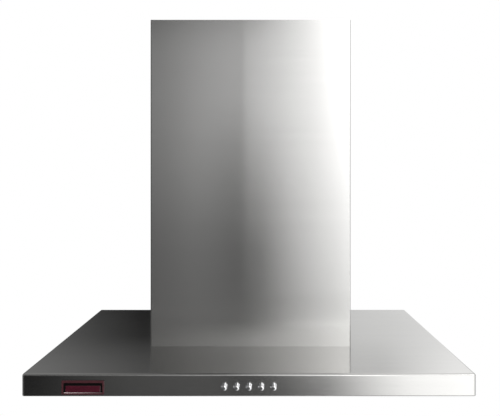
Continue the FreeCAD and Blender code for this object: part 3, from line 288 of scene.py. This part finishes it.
def brushed_stainless():
    steel = Finish("brushed_stainless")
    x, y, z = steel.axes(steel.place)
    on_side = steel.smooth(abs(steel.axes(steel.facing)[0]), *SIDE_FACING)
    along = x + (y - x) * on_side
    across = z + y * (1 - on_side)

    def streaks(per_metre_along, per_metre_across, detail, roughness=0.5):
        stretched = steel.vector(along * per_metre_along, across * per_metre_across)
        return steel.noise(stretched, 1.0, detail, roughness)

    scratches = streaks(GRAIN_ALONG, GRAIN_ACROSS, 3.0, 0.6)
    gouges = steel.smooth(streaks(GOUGE_ALONG, GOUGE_ACROSS, 1.0), *GOUGE_LEVELS)
    bands = streaks(BAND_ALONG, BAND_ACROSS, 3.0, 0.6)
    handling = steel.smooth(steel.noise(steel.place, 5.0, 3.0), *HANDLING_LEVELS)
    slant = steel.node("ShaderNodeLayerWeight", {}, {"Blend": 0.5}, "Facing")
    slant_gloss = steel.smooth(slant, *SLANT_LEVELS) * SLANT_GLOSS
    front_gloss = steel.smooth(y, *FRONT_BAND) * FRONT_GLOSS
    plateaus = steel.smooth(z, *PLATEAUS_RISE)
    ground = steel.mix(bands, (0.54, 0.537, 0.525, 1), (0.58, 0.576, 0.565, 1))
    polished = steel.mix(bands, (0.487, 0.484, 0.474, 1), (0.523, 0.519, 0.51, 1))
    return steel.surface(
        Base_Color=steel.mix(plateaus, ground, polished),
        Metallic=1.0,
        Roughness=SHEET_ROUGHNESS + scratches * 0.05 + handling * 0.02 - slant_gloss - front_gloss,
        Specular_Tint=grey(0.7),
        Anisotropic=1.0,
        Anisotropic_Rotation=0.25,
        Coat_Weight=plateaus,
        Coat_IOR=PLATEAU_IOR,
        Coat_Roughness=0.03,
        Normal=steel.bump(scratches + gouges * GOUGE_SHARE, SCRATCH_DEPTH),
    )

finishes["stainless"] = brushed_stainless()
print("made", finishes["stainless"].name)

# %% [markdown]
# ## The plainer metals
# Inside, the blower box is galvanised sheet, whose zinc freezes in flat
# crystals of slightly different grey. Voronoi cells give each crystal its own
# tone. Screws are zinc plated, the buttons are polished chrome with a faint
# film of handling, and springs are drawn wire.

# %% Galvanised sheet, zinc, chrome and wire
def galvanised_sheet():
    zinc = Finish("galvanised_sheet")
    crystals = zinc.cells(zinc.place, 85.0, "Color")
    tone = zinc.axes(crystals)[0]
    frost = zinc.noise(zinc.place, 900.0, 2.0)
    return zinc.surface(
        Base_Color=zinc.mix(tone, (0.46, 0.48, 0.49, 1), (0.62, 0.64, 0.65, 1)),
        Metallic=1.0,
        Roughness=0.34 + tone * 0.16 + frost * 0.06,
        Normal=zinc.bump(frost, 0.00002),
    )

def zinc_plate():
    plate = Finish("zinc_plate")
    film = plate.noise(plate.place, 260.0, 3.0)
    return plate.surface(
        Base_Color=plate.mix(film, (0.6, 0.61, 0.6, 1), (0.74, 0.72, 0.66, 1)),
        Metallic=1.0,
        Roughness=0.22 + film * 0.16,
    )

def polished_chrome():
    chrome = Finish("polished_chrome")
    film = chrome.smooth(chrome.noise(chrome.place, 420.0, 3.0), 0.4, 0.75)
    return chrome.surface(
        Base_Color=chrome.mix(film, (0.83, 0.83, 0.84, 1), (0.76, 0.77, 0.78, 1)),
        Metallic=1.0,
        Roughness=0.05 + film * 0.06,
    )

def drawn_wire():
    wire = Finish("drawn_wire")
    lines = wire.noise(wire.place, 1500.0, 2.0)
    return wire.surface(
        Base_Color=wire.mix(lines, (0.42, 0.42, 0.42, 1), (0.58, 0.58, 0.57, 1)),
        Metallic=1.0,
        Roughness=0.2 + lines * 0.15,
    )

finishes["galvanised"] = galvanised_sheet()
finishes["zinc_screws"] = zinc_plate()
finishes["chrome"] = polished_chrome()
finishes["spring_steel"] = drawn_wire()
print("made", [finishes[name].name for name in list(finishes)[1:]])

# %% [markdown]
# ## Aluminium, bronze and stacked iron
# The filter frames are pressed from satin aluminium. In the motor the bearings
# are bronze and the windings copper, and one tarnished finish does for both.
# The motor's core is a stack of thin iron plates. They are stacked along the
# shaft, which lies along X, so stripes in X draw their edges.

# %% Aluminium, bronze and laminations
LAMINATION = 0.0005

def satin_aluminium():
    metal = Finish("satin_aluminium")
    x, y, z = metal.axes(metal.place)
    rolling = metal.noise(metal.vector(x * 900.0, y * 25.0, z * 900.0), 1.0, 2.0)
    marks = metal.noise(metal.place, 30.0, 3.0)
    return metal.surface(
        Base_Color=metal.mix(marks, (0.66, 0.67, 0.68, 1), (0.76, 0.77, 0.78, 1)),
        Metallic=1.0,
        Roughness=0.3 + rolling * 0.12 + marks * 0.06,
        Normal=metal.bump(rolling, 0.00001),
    )

def bare_bronze():
    bronze = Finish("bare_bronze")
    tarnish = bronze.noise(bronze.place, 110.0, 4.0)
    return bronze.surface(
        Base_Color=bronze.mix(tarnish, (0.44, 0.22, 0.1, 1), (0.66, 0.38, 0.19, 1)),
        Metallic=1.0,
        Roughness=0.24 + tarnish * 0.22,
    )

def stacked_iron():
    iron = Finish("stacked_iron")
    x = iron.axes(iron.place)[0]
    edges = abs((x / LAMINATION).fraction() - 0.5)
    scale = iron.noise(iron.place, 140.0, 3.0)
    return iron.surface(
        Base_Color=iron.mix(scale, (0.2, 0.2, 0.21, 1), (0.32, 0.31, 0.3, 1)),
        Metallic=0.85,
        Roughness=0.4 + scale * 0.2,
        Normal=iron.bump(edges, 0.0001),
    )

finishes["aluminium"] = satin_aluminium()
finishes["bronze"] = bare_bronze()
finishes["laminated_iron"] = stacked_iron()
print("made", [finishes[name].name for name in ("aluminium", "bronze", "laminated_iron")])

# %% [markdown]
# ## Plastics, foam and glass
# Moulded plastic is never quite even: spark-eroded tools leave a fine pebble
# on it, and a slow drift of gloss. One recipe with three colours makes the
# black, white and grey mouldings. The gasket under the blower is closed-cell
# foam, and the lamp covers are glass with a pressed, frosted face.

# %% Mouldings, foam and frosted glass
def moulded_plastic(name, dark, light, gloss):
    plastic = Finish(name)
    pebble = plastic.noise(plastic.place, 2600.0, 2.0)
    drift = plastic.noise(plastic.place, 45.0, 3.0)
    return plastic.surface(
        Base_Color=plastic.mix(drift, dark, light),
        Roughness=gloss + pebble * 0.08 + drift * 0.08,
        Normal=plastic.bump(pebble, 0.00002),
    )

def closed_cell_foam():
    foam = Finish("closed_cell_foam")
    pores = foam.cells(foam.place, 1100.0)
    return foam.surface(
        Base_Color=foam.mix(pores, (0.035, 0.035, 0.036, 1), (0.085, 0.085, 0.083, 1)),
        Roughness=0.8 + pores * 0.15,
        Normal=foam.bump(pores, 0.00025),
    )

def frosted_glass():
    glass = Finish("frosted_glass")
    pebble = glass.cells(glass.place, 650.0)
    haze = glass.noise(glass.place, 90.0, 3.0)
    return glass.surface(
        Base_Color=glass.mix(haze, (0.86, 0.88, 0.87, 1), (0.93, 0.94, 0.93, 1)),
        Roughness=0.32 + haze * 0.16,
        IOR=1.5,
        Transmission_Weight=0.75,
        Normal=glass.bump(pebble, 0.0001),
    )

finishes["black_plastic"] = moulded_plastic(
    "black_moulding", (0.022, 0.022, 0.023, 1), (0.036, 0.036, 0.037, 1), 0.38)
finishes["white_plastic"] = moulded_plastic(
    "white_moulding", (0.7, 0.69, 0.65, 1), (0.78, 0.77, 0.73, 1), 0.36)
finishes["grey_plastic"] = moulded_plastic(
    "grey_moulding", (0.19, 0.19, 0.2, 1), (0.25, 0.25, 0.26, 1), 0.4)
finishes["foam_rubber"] = closed_cell_foam()
finishes["frosted_glass"] = frosted_glass()
print("made", [finishes[name].name for name in list(finishes)[-5:]])

# %% [markdown]
# ## Enamel for the badge
# The badge is a stamped plate, fired with a dark red glass enamel. Enamel
# pools and ripples a little as it melts, so its gloss is wavy like orange
# peel. The channel round the middle is filled with black lacquer, and its
# lower lip, which faces up, carries a painted highlight, palest at the left.

# %% Red enamel, black lacquer and a painted highlight
def fired_enamel(name, deep, bright, coat):
    enamel = Finish(name)
    pooling = enamel.noise(enamel.place, 160.0, 3.0)
    ripple = enamel.noise(enamel.place, 420.0, 1.0)
    return enamel.surface(
        Base_Color=enamel.mix(pooling, deep, bright),
        Roughness=0.14 + pooling * 0.1,
        Coat_Weight=coat,
        Normal=enamel.bump(ripple, 0.00006),
    )

def painted_highlight_enamel():
    """Enamel with a painted highlight, palest at the badge's left end."""
    lip_highlight = Finish("painted_highlight_lip")
    left, right = [corner.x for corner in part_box("badge_plate")]
    # Painted highlight: the lip's colour is pale at the left end and dark red at the right.
    highlight_share = lip_highlight.smooth(lip_highlight.axes(lip_highlight.place)[0], right, left)
    lip_gloss_noise = lip_highlight.noise(lip_highlight.place, 160.0, 3.0)
    return lip_highlight.surface(
        Base_Color=lip_highlight.mix(highlight_share, (0.2, 0.12, 0.13, 1), (0.85, 0.65, 0.67, 1)),
        Roughness=0.14 + lip_gloss_noise * 0.1,
        Coat_Weight=0.4,
    )

def matt_lacquer():
    lacquer = Finish("matt_black_lacquer")
    brushing = lacquer.noise(lacquer.place, 900.0, 3.0)
    return lacquer.surface(
        Base_Color=lacquer.mix(brushing, (0.003, 0.003, 0.003, 1), (0.007, 0.006, 0.006, 1)),
        Roughness=0.6 + brushing * 0.2,
        Specular_IOR_Level=0.05,
    )

finishes["red_enamel"] = fired_enamel(
    "red_enamel_field", (0.062, 0.007, 0.016, 1), (0.093, 0.01, 0.0235, 1), 0.4)
rim_enamel = fired_enamel("red_enamel_rim", (0.063, 0.02, 0.025, 1), (0.095, 0.03, 0.036, 1), 0.4)
painted_highlight_lip = painted_highlight_enamel()
lacquer = matt_lacquer()
print("made", finishes["red_enamel"].name, rim_enamel.name, lacquer.name)

# %% [markdown]
# ## Every node gets its finish
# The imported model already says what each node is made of: its material carries
# the name of a slot in the record. So one loop swaps each plain stand-in for
# the finish of the same name. The button guide alone is changed afterwards:
# its collars, which show round the buttons, are plated like them.

# %% Dress the nodes
for node in frame["nodes"].values():
    for slot in node.material_slots:
        slot.material = finishes[slot.material.name]
frame["nodes"]["button_guide"].material_slots[0].material = finishes["chrome"]
print("dressed", len(frame["nodes"]), "nodes in", len(finishes), "finishes")

# %% [markdown]
# ## The badge
# On the front's left end sits a small bare plate: a raised rim, a black
# channel and a field of enamel. A block with a picture on it would be flat, so
# the plate is cut the way a stamping is: the front face is inset again and
# again, and each inset steps in or out. The soft outer edge is a bevel.

# %% Helpers for pieces
MM = 0.001

def new_piece(name, mesh, body, materials):
    data = bpy.data.meshes.new(name)
    mesh.to_mesh(data)
    mesh.free()
    piece = bpy.data.objects.new(name, data)
    bpy.context.scene.collection.objects.link(piece)
    for material in materials:
        data.materials.append(material)
    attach(piece, body)
    print("piece", name, "faces:", len(data.polygons))
    return piece

def block_between(mesh, low, high):
    size = Vector(high) - Vector(low)
    place = Matrix.Translation((Vector(low) + Vector(high)) / 2) @ Matrix.Diagonal((*size, 1))
    return bmesh.ops.create_cube(mesh, size=1.0, matrix=place)["verts"]

# %% Stamp the badge
RIM, CHANNEL, FIELD, LIP = range(4)
RIM_WIDTH = 2.75 * MM
RIM_DROP = 0.55 * MM
FIELD_DROP = 1.2 * MM
CORNER_RADIUS = 1.2 * MM
EDGE_RADIUS = 0.5 * MM
SHARP_ANGLE = 1.5

# Each step inwards: its width, its rise, how far the rest moves down, its enamel.
CHANNEL_STEPS = (
    (0.7 * MM, -0.7 * MM, 0.0, CHANNEL),
    (1.5 * MM, 0.0, FIELD_DROP, CHANNEL),
    (0.3 * MM, 0.25 * MM, 0.0, CHANNEL),
    (0.4 * MM, 0.1 * MM, 0.0, FIELD),
)

def front_face(mesh):
    """The foremost face."""
    return min(mesh.faces, key=lambda face: face.calc_center_median().y)

def round_edges(mesh, edges, radius, segments):
    bmesh.ops.bevel(
        mesh, geom=edges, offset=radius, affect="EDGES", segments=segments, profile=0.5,
        material=-1)

def stamped_badge():
    mesh = bmesh.new()
    block_between(mesh, *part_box("badge_plate"))
    corners = [e for e in mesh.edges if abs(e.verts[0].co.y - e.verts[1].co.y) > MM]
    field = front_face(mesh)
    bmesh.ops.inset_region(mesh, faces=[field], thickness=RIM_WIDTH, use_even_offset=True)
    bmesh.ops.translate(mesh, verts=field.verts, vec=(0, 0, -RIM_DROP))
    for width, rise, drop, material in CHANNEL_STEPS:
        made = bmesh.ops.inset_region(
            mesh, faces=[field], thickness=width, depth=rise, use_even_offset=True)
        for face in made["faces"]:
            # The upward faces of the first step are the lip, which carries a painted highlight.
            faces_up = rise < 0 and face.normal.z > 0.5
            face.material_index = LIP if faces_up else material
        bmesh.ops.translate(mesh, verts=field.verts, vec=(0, 0, -drop))
    field.material_index = FIELD
    round_edges(mesh, corners, CORNER_RADIUS, 5)
    outline = [
        e for e in mesh.edges
        if e.is_manifold and e.calc_face_angle() > SHARP_ANGLE
        and min(f.normal.y for f in e.link_faces) < -0.99
    ]
    round_edges(mesh, outline, EDGE_RADIUS, 4)
    for face in mesh.faces:
        if face.material_index == RIM and abs(face.normal.y) < 0.1:
            face.material_index = CHANNEL
    return mesh

badge = new_piece(
    "badge", stamped_badge(), "hood",
    [rim_enamel, lacquer, finishes["red_enamel"], painted_highlight_lip])
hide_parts("badge_plate")

# %% [markdown]
# ## Expanded metal in the grease filters
# A grease filter holds a pad of expanded aluminium: sheet that is slit and
# pulled until the slits open into diamonds. A grid turned by 45 degrees is
# already diamonds, so it is cropped to the frame, each face is inset, the
# middles are dropped, and what stays gets a thickness. Two layers that don't
# line up lie over a dark pad, so that one doesn't see straight through.

# %% Cut and crop a sheet of diamonds
DIAMOND_WIDTH = 11.0 * MM
DIAMOND_LENGTH = 6.6 * MM
STRAND = 0.65 * MM
STRAND_THICKNESS = 0.7 * MM

def crop(mesh, low, high):
    for axis in (0, 1):
        for limit, sign in ((low, -1), (high, 1)):
            point = Vector((0, 0, 0))
            point[axis] = limit[axis]
            normal = Vector((0, 0, 0))
            normal[axis] = sign
            bmesh.ops.bisect_plane(
                mesh, geom=mesh.verts[:] + mesh.edges[:] + mesh.faces[:],
                plane_co=point, plane_no=normal, clear_outer=True)

def expanded_sheet(mesh, low, high, z, shift):
    """Adds one layer of open diamonds to the mesh."""
    layer = bmesh.new()
    centre = (Vector(low) + Vector(high)) / 2 + Vector(shift)
    centre.z = z
    steps = 2 * math.ceil(max(high - low) / min(DIAMOND_WIDTH, DIAMOND_LENGTH))
    turn = Matrix.Rotation(math.radians(45), 4, "Z")
    stretch = Matrix.Diagonal((DIAMOND_WIDTH / math.sqrt(2), DIAMOND_LENGTH / math.sqrt(2), 1, 1))
    bmesh.ops.create_grid(
        layer, x_segments=steps, y_segments=steps, size=steps / 2,
        matrix=Matrix.Translation(centre) @ stretch @ turn)
    crop(layer, low, high)
    cells = layer.faces[:]
    bmesh.ops.inset_individual(layer, faces=cells, thickness=STRAND, use_even_offset=True)
    bmesh.ops.delete(layer, geom=cells, context="FACES")
    bmesh.ops.solidify(layer, geom=layer.faces[:], thickness=STRAND_THICKNESS)
    data = bpy.data.meshes.new("layer")
    layer.to_mesh(data)
    layer.free()
    mesh.from_mesh(data)
    bpy.data.meshes.remove(data)

# %% Fill both filters
PAD_INSET = 2.6 * MM
LOWER_LAYER = STRAND_THICKNESS
UPPER_LAYER = 2.4 * STRAND_THICKNESS
UPPER_SHIFT = (2.4 * MM, 1.7 * MM, 0)
ALUMINIUM, PAD = range(2)

def filter_pad(side):
    low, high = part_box("filter_mesh_" + side)
    mesh = bmesh.new()
    expanded_sheet(mesh, low, high, low.z + LOWER_LAYER, (0, 0, 0))
    expanded_sheet(mesh, low, high, low.z + UPPER_LAYER, UPPER_SHIFT)
    for face in mesh.faces:
        face.material_index = ALUMINIUM
    lattice = len(mesh.faces)
    block_between(mesh, (low.x, low.y, low.z + PAD_INSET), high)
    for face in list(mesh.faces)[lattice:]:
        face.material_index = PAD
    return mesh

def woven_pad():
    pad = Finish("woven_pad")
    strands = pad.cells(pad.place, 420.0)
    return pad.surface(
        Base_Color=pad.mix(strands, grey(0.1), grey(0.42)),
        Metallic=0.9,
        Roughness=0.5 + strands * 0.2,
        Normal=pad.bump(strands, 0.0006),
    )

pad_material = woven_pad()
for side in ("left", "right"):
    pad = new_piece(
        "filter_pad_" + side, filter_pad(side), "filter_" + side,
        [finishes["aluminium"], pad_material])
    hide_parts("filter_mesh_" + side)

# %% [markdown]
# ## Springs as pieces of their own
# A coil spring belongs to neither of the two things that it pushes apart. The
# record says for each sprung joint which spring it presses. That spring is
# copied out of the model as a piece of its own, cut to the width of the part
# that presses it, and hung on the joint's parent.

# %% One piece for each spring
MERGE_WITHIN = 0.001 * MM

def spring_piece(joint):
    node = joint["deforming_nodes"][0]["node"]
    pusher = frame["record"]["behaviour"]["bodies"][joint["child"]][0]
    left, right = [corner.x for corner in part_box(pusher)]
    mesh = bmesh.new()
    mesh.from_mesh(frame["nodes"][node].data)
    bmesh.ops.remove_doubles(mesh, verts=mesh.verts, dist=MERGE_WITHIN)
    others = [vert for vert in mesh.verts if not left < vert.co.x < right]
    bmesh.ops.delete(mesh, geom=others, context="VERTS")
    spring = new_piece(
        joint["child"] + "_spring", mesh, joint["parent"],
        [finishes["spring_steel"]])
    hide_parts(node)
    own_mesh(spring)

for joint in frame["joints"]:
    if "springref" in joint:
        spring_piece(joint)

# %% [markdown]
# ## The studio
# Brushed steel has hardly a look of its own: it shows what stands round it.
# The chimney is dark at its left and burns out at its right, so a large soft
# light stood at the right and a dark screen at the left, and both lie further
# right for what is mirrored low down. Single cards would each need placing, so
# one light tent surrounds the object, and its inside glows as bright as that
# part of the room. The camera looks through the tent at white paper, which is
# the world's plain white.
#
# The tent is built of rows, each a few stops from left to right. In front there
# are four, from low down to high up, with a dark stand before them and a strip
# light over them. Behind hangs the paper, above lies the ceiling, and the sides
# are dim, but for a pale sheet at the front right that lights the right fold of
# the chimney.

# %% Rows of the room, low to high
REACH = 0.5
BRIGHTEST = 3.0

# Each stop says how far right it lies and how bright it is there. Paper is 1.
LOW_DOWN = (
    (-0.33, 0.015), (-0.2, 0.08), (-0.07, 0.1), (0.05, 0.08),
    (0.1, 0.2), (0.22, 1.5), (0.34, 2), (0.42, 0.7))
BELOW_EYE = (
    (-0.35, 0.02), (-0.1, 0.18), (-0.05, 0.16), (-0.0275, 0.03), (-0.021, 0.17), (0, 0.12),
    (0.09, 1.1), (0.115, 1.25), (0.13, 1.5), (0.22, 2.1), (0.34, 2), (0.42, 0.7))
ABOVE_EYE = (
    (-0.4, 0.25), (-0.15, 0.49), (-0.045, 0.95), (-0.0275, 0.78), (-0.021, 1.3),
    (0.085, 1.8), (0.12, 2.4), (0.14, 3), (0.16, 3), (0.21, 1.2), (0.3, 1.2))
HIGH_UP = (
    (-0.4, 0), (-0.15, 0.01), (0, 0.17), (0.06, 1.35), (0.09, 2.2),
    (0.12, 3), (0.16, 3), (0.21, 1.4), (0.3, 1.3))
STRIP_LIGHT = (
    (-0.3, 0), (-0.15, 0.5), (0, 1.2), (0.1, 0.4),
    (0.18, 1.2), (0.25, 2.8), (0.3, 2.8), (0.38, 0.7))
PAPER_LOW = (
    (-0.35, 0.2), (-0.24, 0.06), (-0.17, 0), (0, 0.3),
    (0.14, 1.18), (0.34, 1.5), (0.42, 0.7))
PAPER_HIGH = (
    (-0.35, 0.32), (-0.17, 0.17), (0, 0.44), (0.14, 0.92),
    (0.19, 0.94), (0.3, 1.7), (0.34, 1.7), (0.42, 0.7))
CEILING = ((-0.3, 0.32), (-0.05, 0.05), (0.1, 0.85), (0.3, 1.2))
UNDERNEATH = ((-0.45, 0.12), (-0.1, 0.15), (0.1, 0.4), (0.45, 0.7))

def room_row(tent, across, stops):
    spread = [((place + REACH) / (2 * REACH), level / BRIGHTEST) for place, level in stops]
    return tent.ramp((across + REACH) / (2 * REACH), spread)

# %% Where one row gives way to the next
LOW_EDGE = (-0.28, -0.21)
EYE_LEVEL = (-0.12, 0.16)
HIGH_EDGE = (0.19, 0.28)
STRIP_EDGE = (0.36, 0.5)
STAND_HEIGHT = -0.035
STAND_FADE = (0.19, 0.03)
STAND_LEFT = (-0.1, -0.035)
STAND_CRISP_RIGHT = (-0.014, -0.026)
STAND_SOFT_RIGHT = (0.05, -0.01)
STAND_DARKNESS = 0.25
PAPER_FOOT = (-0.2, 0.0)
PAPER_MIDDLE = (0.19, 0.3)

def in_front(tent, x, across, height):
    low_down, below_eye, above_eye, high_up = [
        room_row(tent, across, row) for row in (LOW_DOWN, BELOW_EYE, ABOVE_EYE, HIGH_UP)]
    light = tent.blend(height, EYE_LEVEL, below_eye, above_eye)
    edge = tent.smooth(across, *STAND_CRISP_RIGHT) + tent.smooth(across, *STAND_SOFT_RIGHT)
    near = tent.smooth(abs(height - STAND_HEIGHT), *STAND_FADE)
    stand = tent.smooth(across, *STAND_LEFT) * near * edge
    light = tent.mix(stand * STAND_DARKNESS, light, grey(0))
    light = tent.blend(height, LOW_EDGE, low_down, light)
    light = tent.blend(height, HIGH_EDGE, light, high_up)
    return tent.blend(height, STRIP_EDGE, light, room_row(tent, x, STRIP_LIGHT))

def behind(tent, across, height, underneath):
    low, high = [room_row(tent, across, row) for row in (PAPER_LOW, PAPER_HIGH)]
    paper = tent.blend(height, PAPER_MIDDLE, low, high)
    return tent.blend(height, PAPER_FOOT, underneath, paper)

# %% The sides, and the whole room
LEFT_TO_RIGHT = (-0.5, 0.5)
FRONT_TO_BACK = (-0.05, 0.05)
SIDE_MIDDLE = (0.1, 0.35)
SIDE_EDGE = (0.36, 0.55)
CEILING_EDGE = (0.55, 0.8)
FLOOR_EDGE = (-0.35, -0.6)
LEAST_DEPTH = 0.02

# How bright the side screens are, left and right, and where the pale sheet hangs.
SCREENS_LOW = (grey(0.04), grey(0.17))
SCREENS_HIGH = (grey(0.12), grey(0.2))
PALE_SHEET = grey(0.45)
PALE_SHEET_RIGHT = (0.2, 0.5)
PALE_SHEET_FRONT = (0.1, -0.2)

def beside(tent, x, y, z):
    low = tent.blend(x, LEFT_TO_RIGHT, *SCREENS_LOW)
    high = tent.blend(x, LEFT_TO_RIGHT, *SCREENS_HIGH)
    screens = tent.blend(z, SIDE_MIDDLE, low, high)
    in_sheet = tent.smooth(x, *PALE_SHEET_RIGHT) * tent.smooth(y, *PALE_SHEET_FRONT)
    return tent.mix(in_sheet, screens, PALE_SHEET)

def room_light(tent):
    direction = tent.node("ShaderNodeVectorMath", {"operation": "NORMALIZE"}, {0: tent.place})
    x, y, z = tent.axes(direction)
    depth = abs(y).at_least(LEAST_DEPTH)
    across, height = x / depth, z / depth
    underneath = room_row(tent, x, UNDERNEATH)
    front = in_front(tent, x, across, height)
    back = behind(tent, across, height, underneath)
    room = tent.blend(y, FRONT_TO_BACK, front, back)
    room = tent.blend(z, CEILING_EDGE, room, room_row(tent, x, CEILING))
    room = tent.blend(abs(x), SIDE_EDGE, room, beside(tent, x, y, z))
    return tent.blend(z, FLOOR_EDGE, room, underneath)

# %% Put up the tent
TENT_RADIUS = 30.0

def stage_piece(name, mesh, material):
    data = bpy.data.meshes.new(name)
    mesh.to_mesh(data)
    mesh.free()
    data.materials.append(material)
    piece = bpy.data.objects.new(name, data)
    bpy.context.scene.collection.objects.link(piece)
    return piece

def tent_cloth():
    tent = Finish("tent_cloth")
    glow = tent.node("ShaderNodeEmission", {}, {"Color": room_light(tent), "Strength": BRIGHTEST})
    tent.node("ShaderNodeOutputMaterial", {}, {"Surface": glow})
    return tent.material

ball = bmesh.new()
bmesh.ops.create_icosphere(ball, subdivisions=4, radius=TENT_RADIUS)
tent = stage_piece("light_tent", ball, tent_cloth())
tent.visible_camera = False

world = bpy.data.worlds.new("white_paper")
world.use_nodes = True
world.node_tree.nodes["Background"].inputs["Color"].default_value = grey(1)
bpy.context.scene.world = world
print("tent:", TENT_RADIUS, "m, world:", world.name)

# %% [markdown]
# ## Floor and key lamp
# The hood hangs, so the floor lies well below it, out of the picture, and only
# the other views show it. It is pale paper too, glowing mostly white to the camera,
# and what the steel mirrors of it is a painted glow of shade and light. One weak
# lamp, above the camera and to its right, adds a little light from a real place.

# %% Floor and lamp
FLOOR_BELOW = 0.9
FLOOR_CENTRE_Y = -0.2
FLOOR_RADIUS = 1.3
FLOOR_GLOW = 0.75

# Painted shade and light in what the steel mirrors of the floor: dim at the front and left,
# brighter back and right.
PAINTED_SHADE_DEPTH = (-0.1, 0.5)
PAINTED_SHADE_LEVELS = (grey(0.05), grey(0.22))
PAINTED_LIGHT_RIGHT = (-0.5, 0.9)

LAMP_PLACE = (1.2, -1.9, 1.3)
LAMP_SIZE = 0.5
LAMP_WATTS = 3.0

def pale_floor():
    floor = Finish("pale_floor")
    mottle = floor.noise(floor.place, 3.0, 3.0)
    colour = floor.mix(mottle, grey(0.82), grey(0.86))
    lit = floor.node("ShaderNodeBsdfPrincipled", {}, {"Base Color": colour, "Roughness": 0.7})
    camera_ray, glossy_ray, inner_ray = [
        floor.node("ShaderNodeLightPath", output=name)
        for name in ("Is Camera Ray", "Is Glossy Ray", "Is Transmission Ray")]
    x, y, _ = floor.axes(floor.place)
    # Painted shade and light that only reflections see: the floor's glow darkens towards the front
    # and the left.
    painted_shade = floor.blend(y, PAINTED_SHADE_DEPTH, *PAINTED_SHADE_LEVELS)
    bright = camera_ray.at_least(floor.smooth(x, *PAINTED_LIGHT_RIGHT))
    paper = floor.node("ShaderNodeEmission", {}, {"Color": floor.mix(bright, painted_shade, grey(1))})
    seen = (camera_ray * FLOOR_GLOW).at_least(glossy_ray).at_least(inner_ray)
    both = floor.node("ShaderNodeMixShader", {}, {0: seen, 1: lit, 2: paper})
    floor.node("ShaderNodeOutputMaterial", {}, {"Surface": both})
    return floor.material

disc = bmesh.new()
floor_place = Matrix.Translation((0, FLOOR_CENTRE_Y, BOTTOM - FLOOR_BELOW))
bmesh.ops.create_circle(disc, cap_ends=True, segments=96, radius=FLOOR_RADIUS, matrix=floor_place)
stage_piece("floor", disc, pale_floor())

lamp_data = bpy.data.lights.new("key", "AREA")
lamp_data.size = LAMP_SIZE
lamp_data.energy = LAMP_WATTS
lamp = bpy.data.objects.new("key", lamp_data)
lamp.location = LAMP_PLACE
lamp.rotation_euler = Vector(LAMP_PLACE).to_track_quat("Z", "Y").to_euler()
bpy.context.scene.collection.objects.link(lamp)
print("floor at", round(floor_place.translation.z, 3), "lamp", lamp_data.energy, "W")
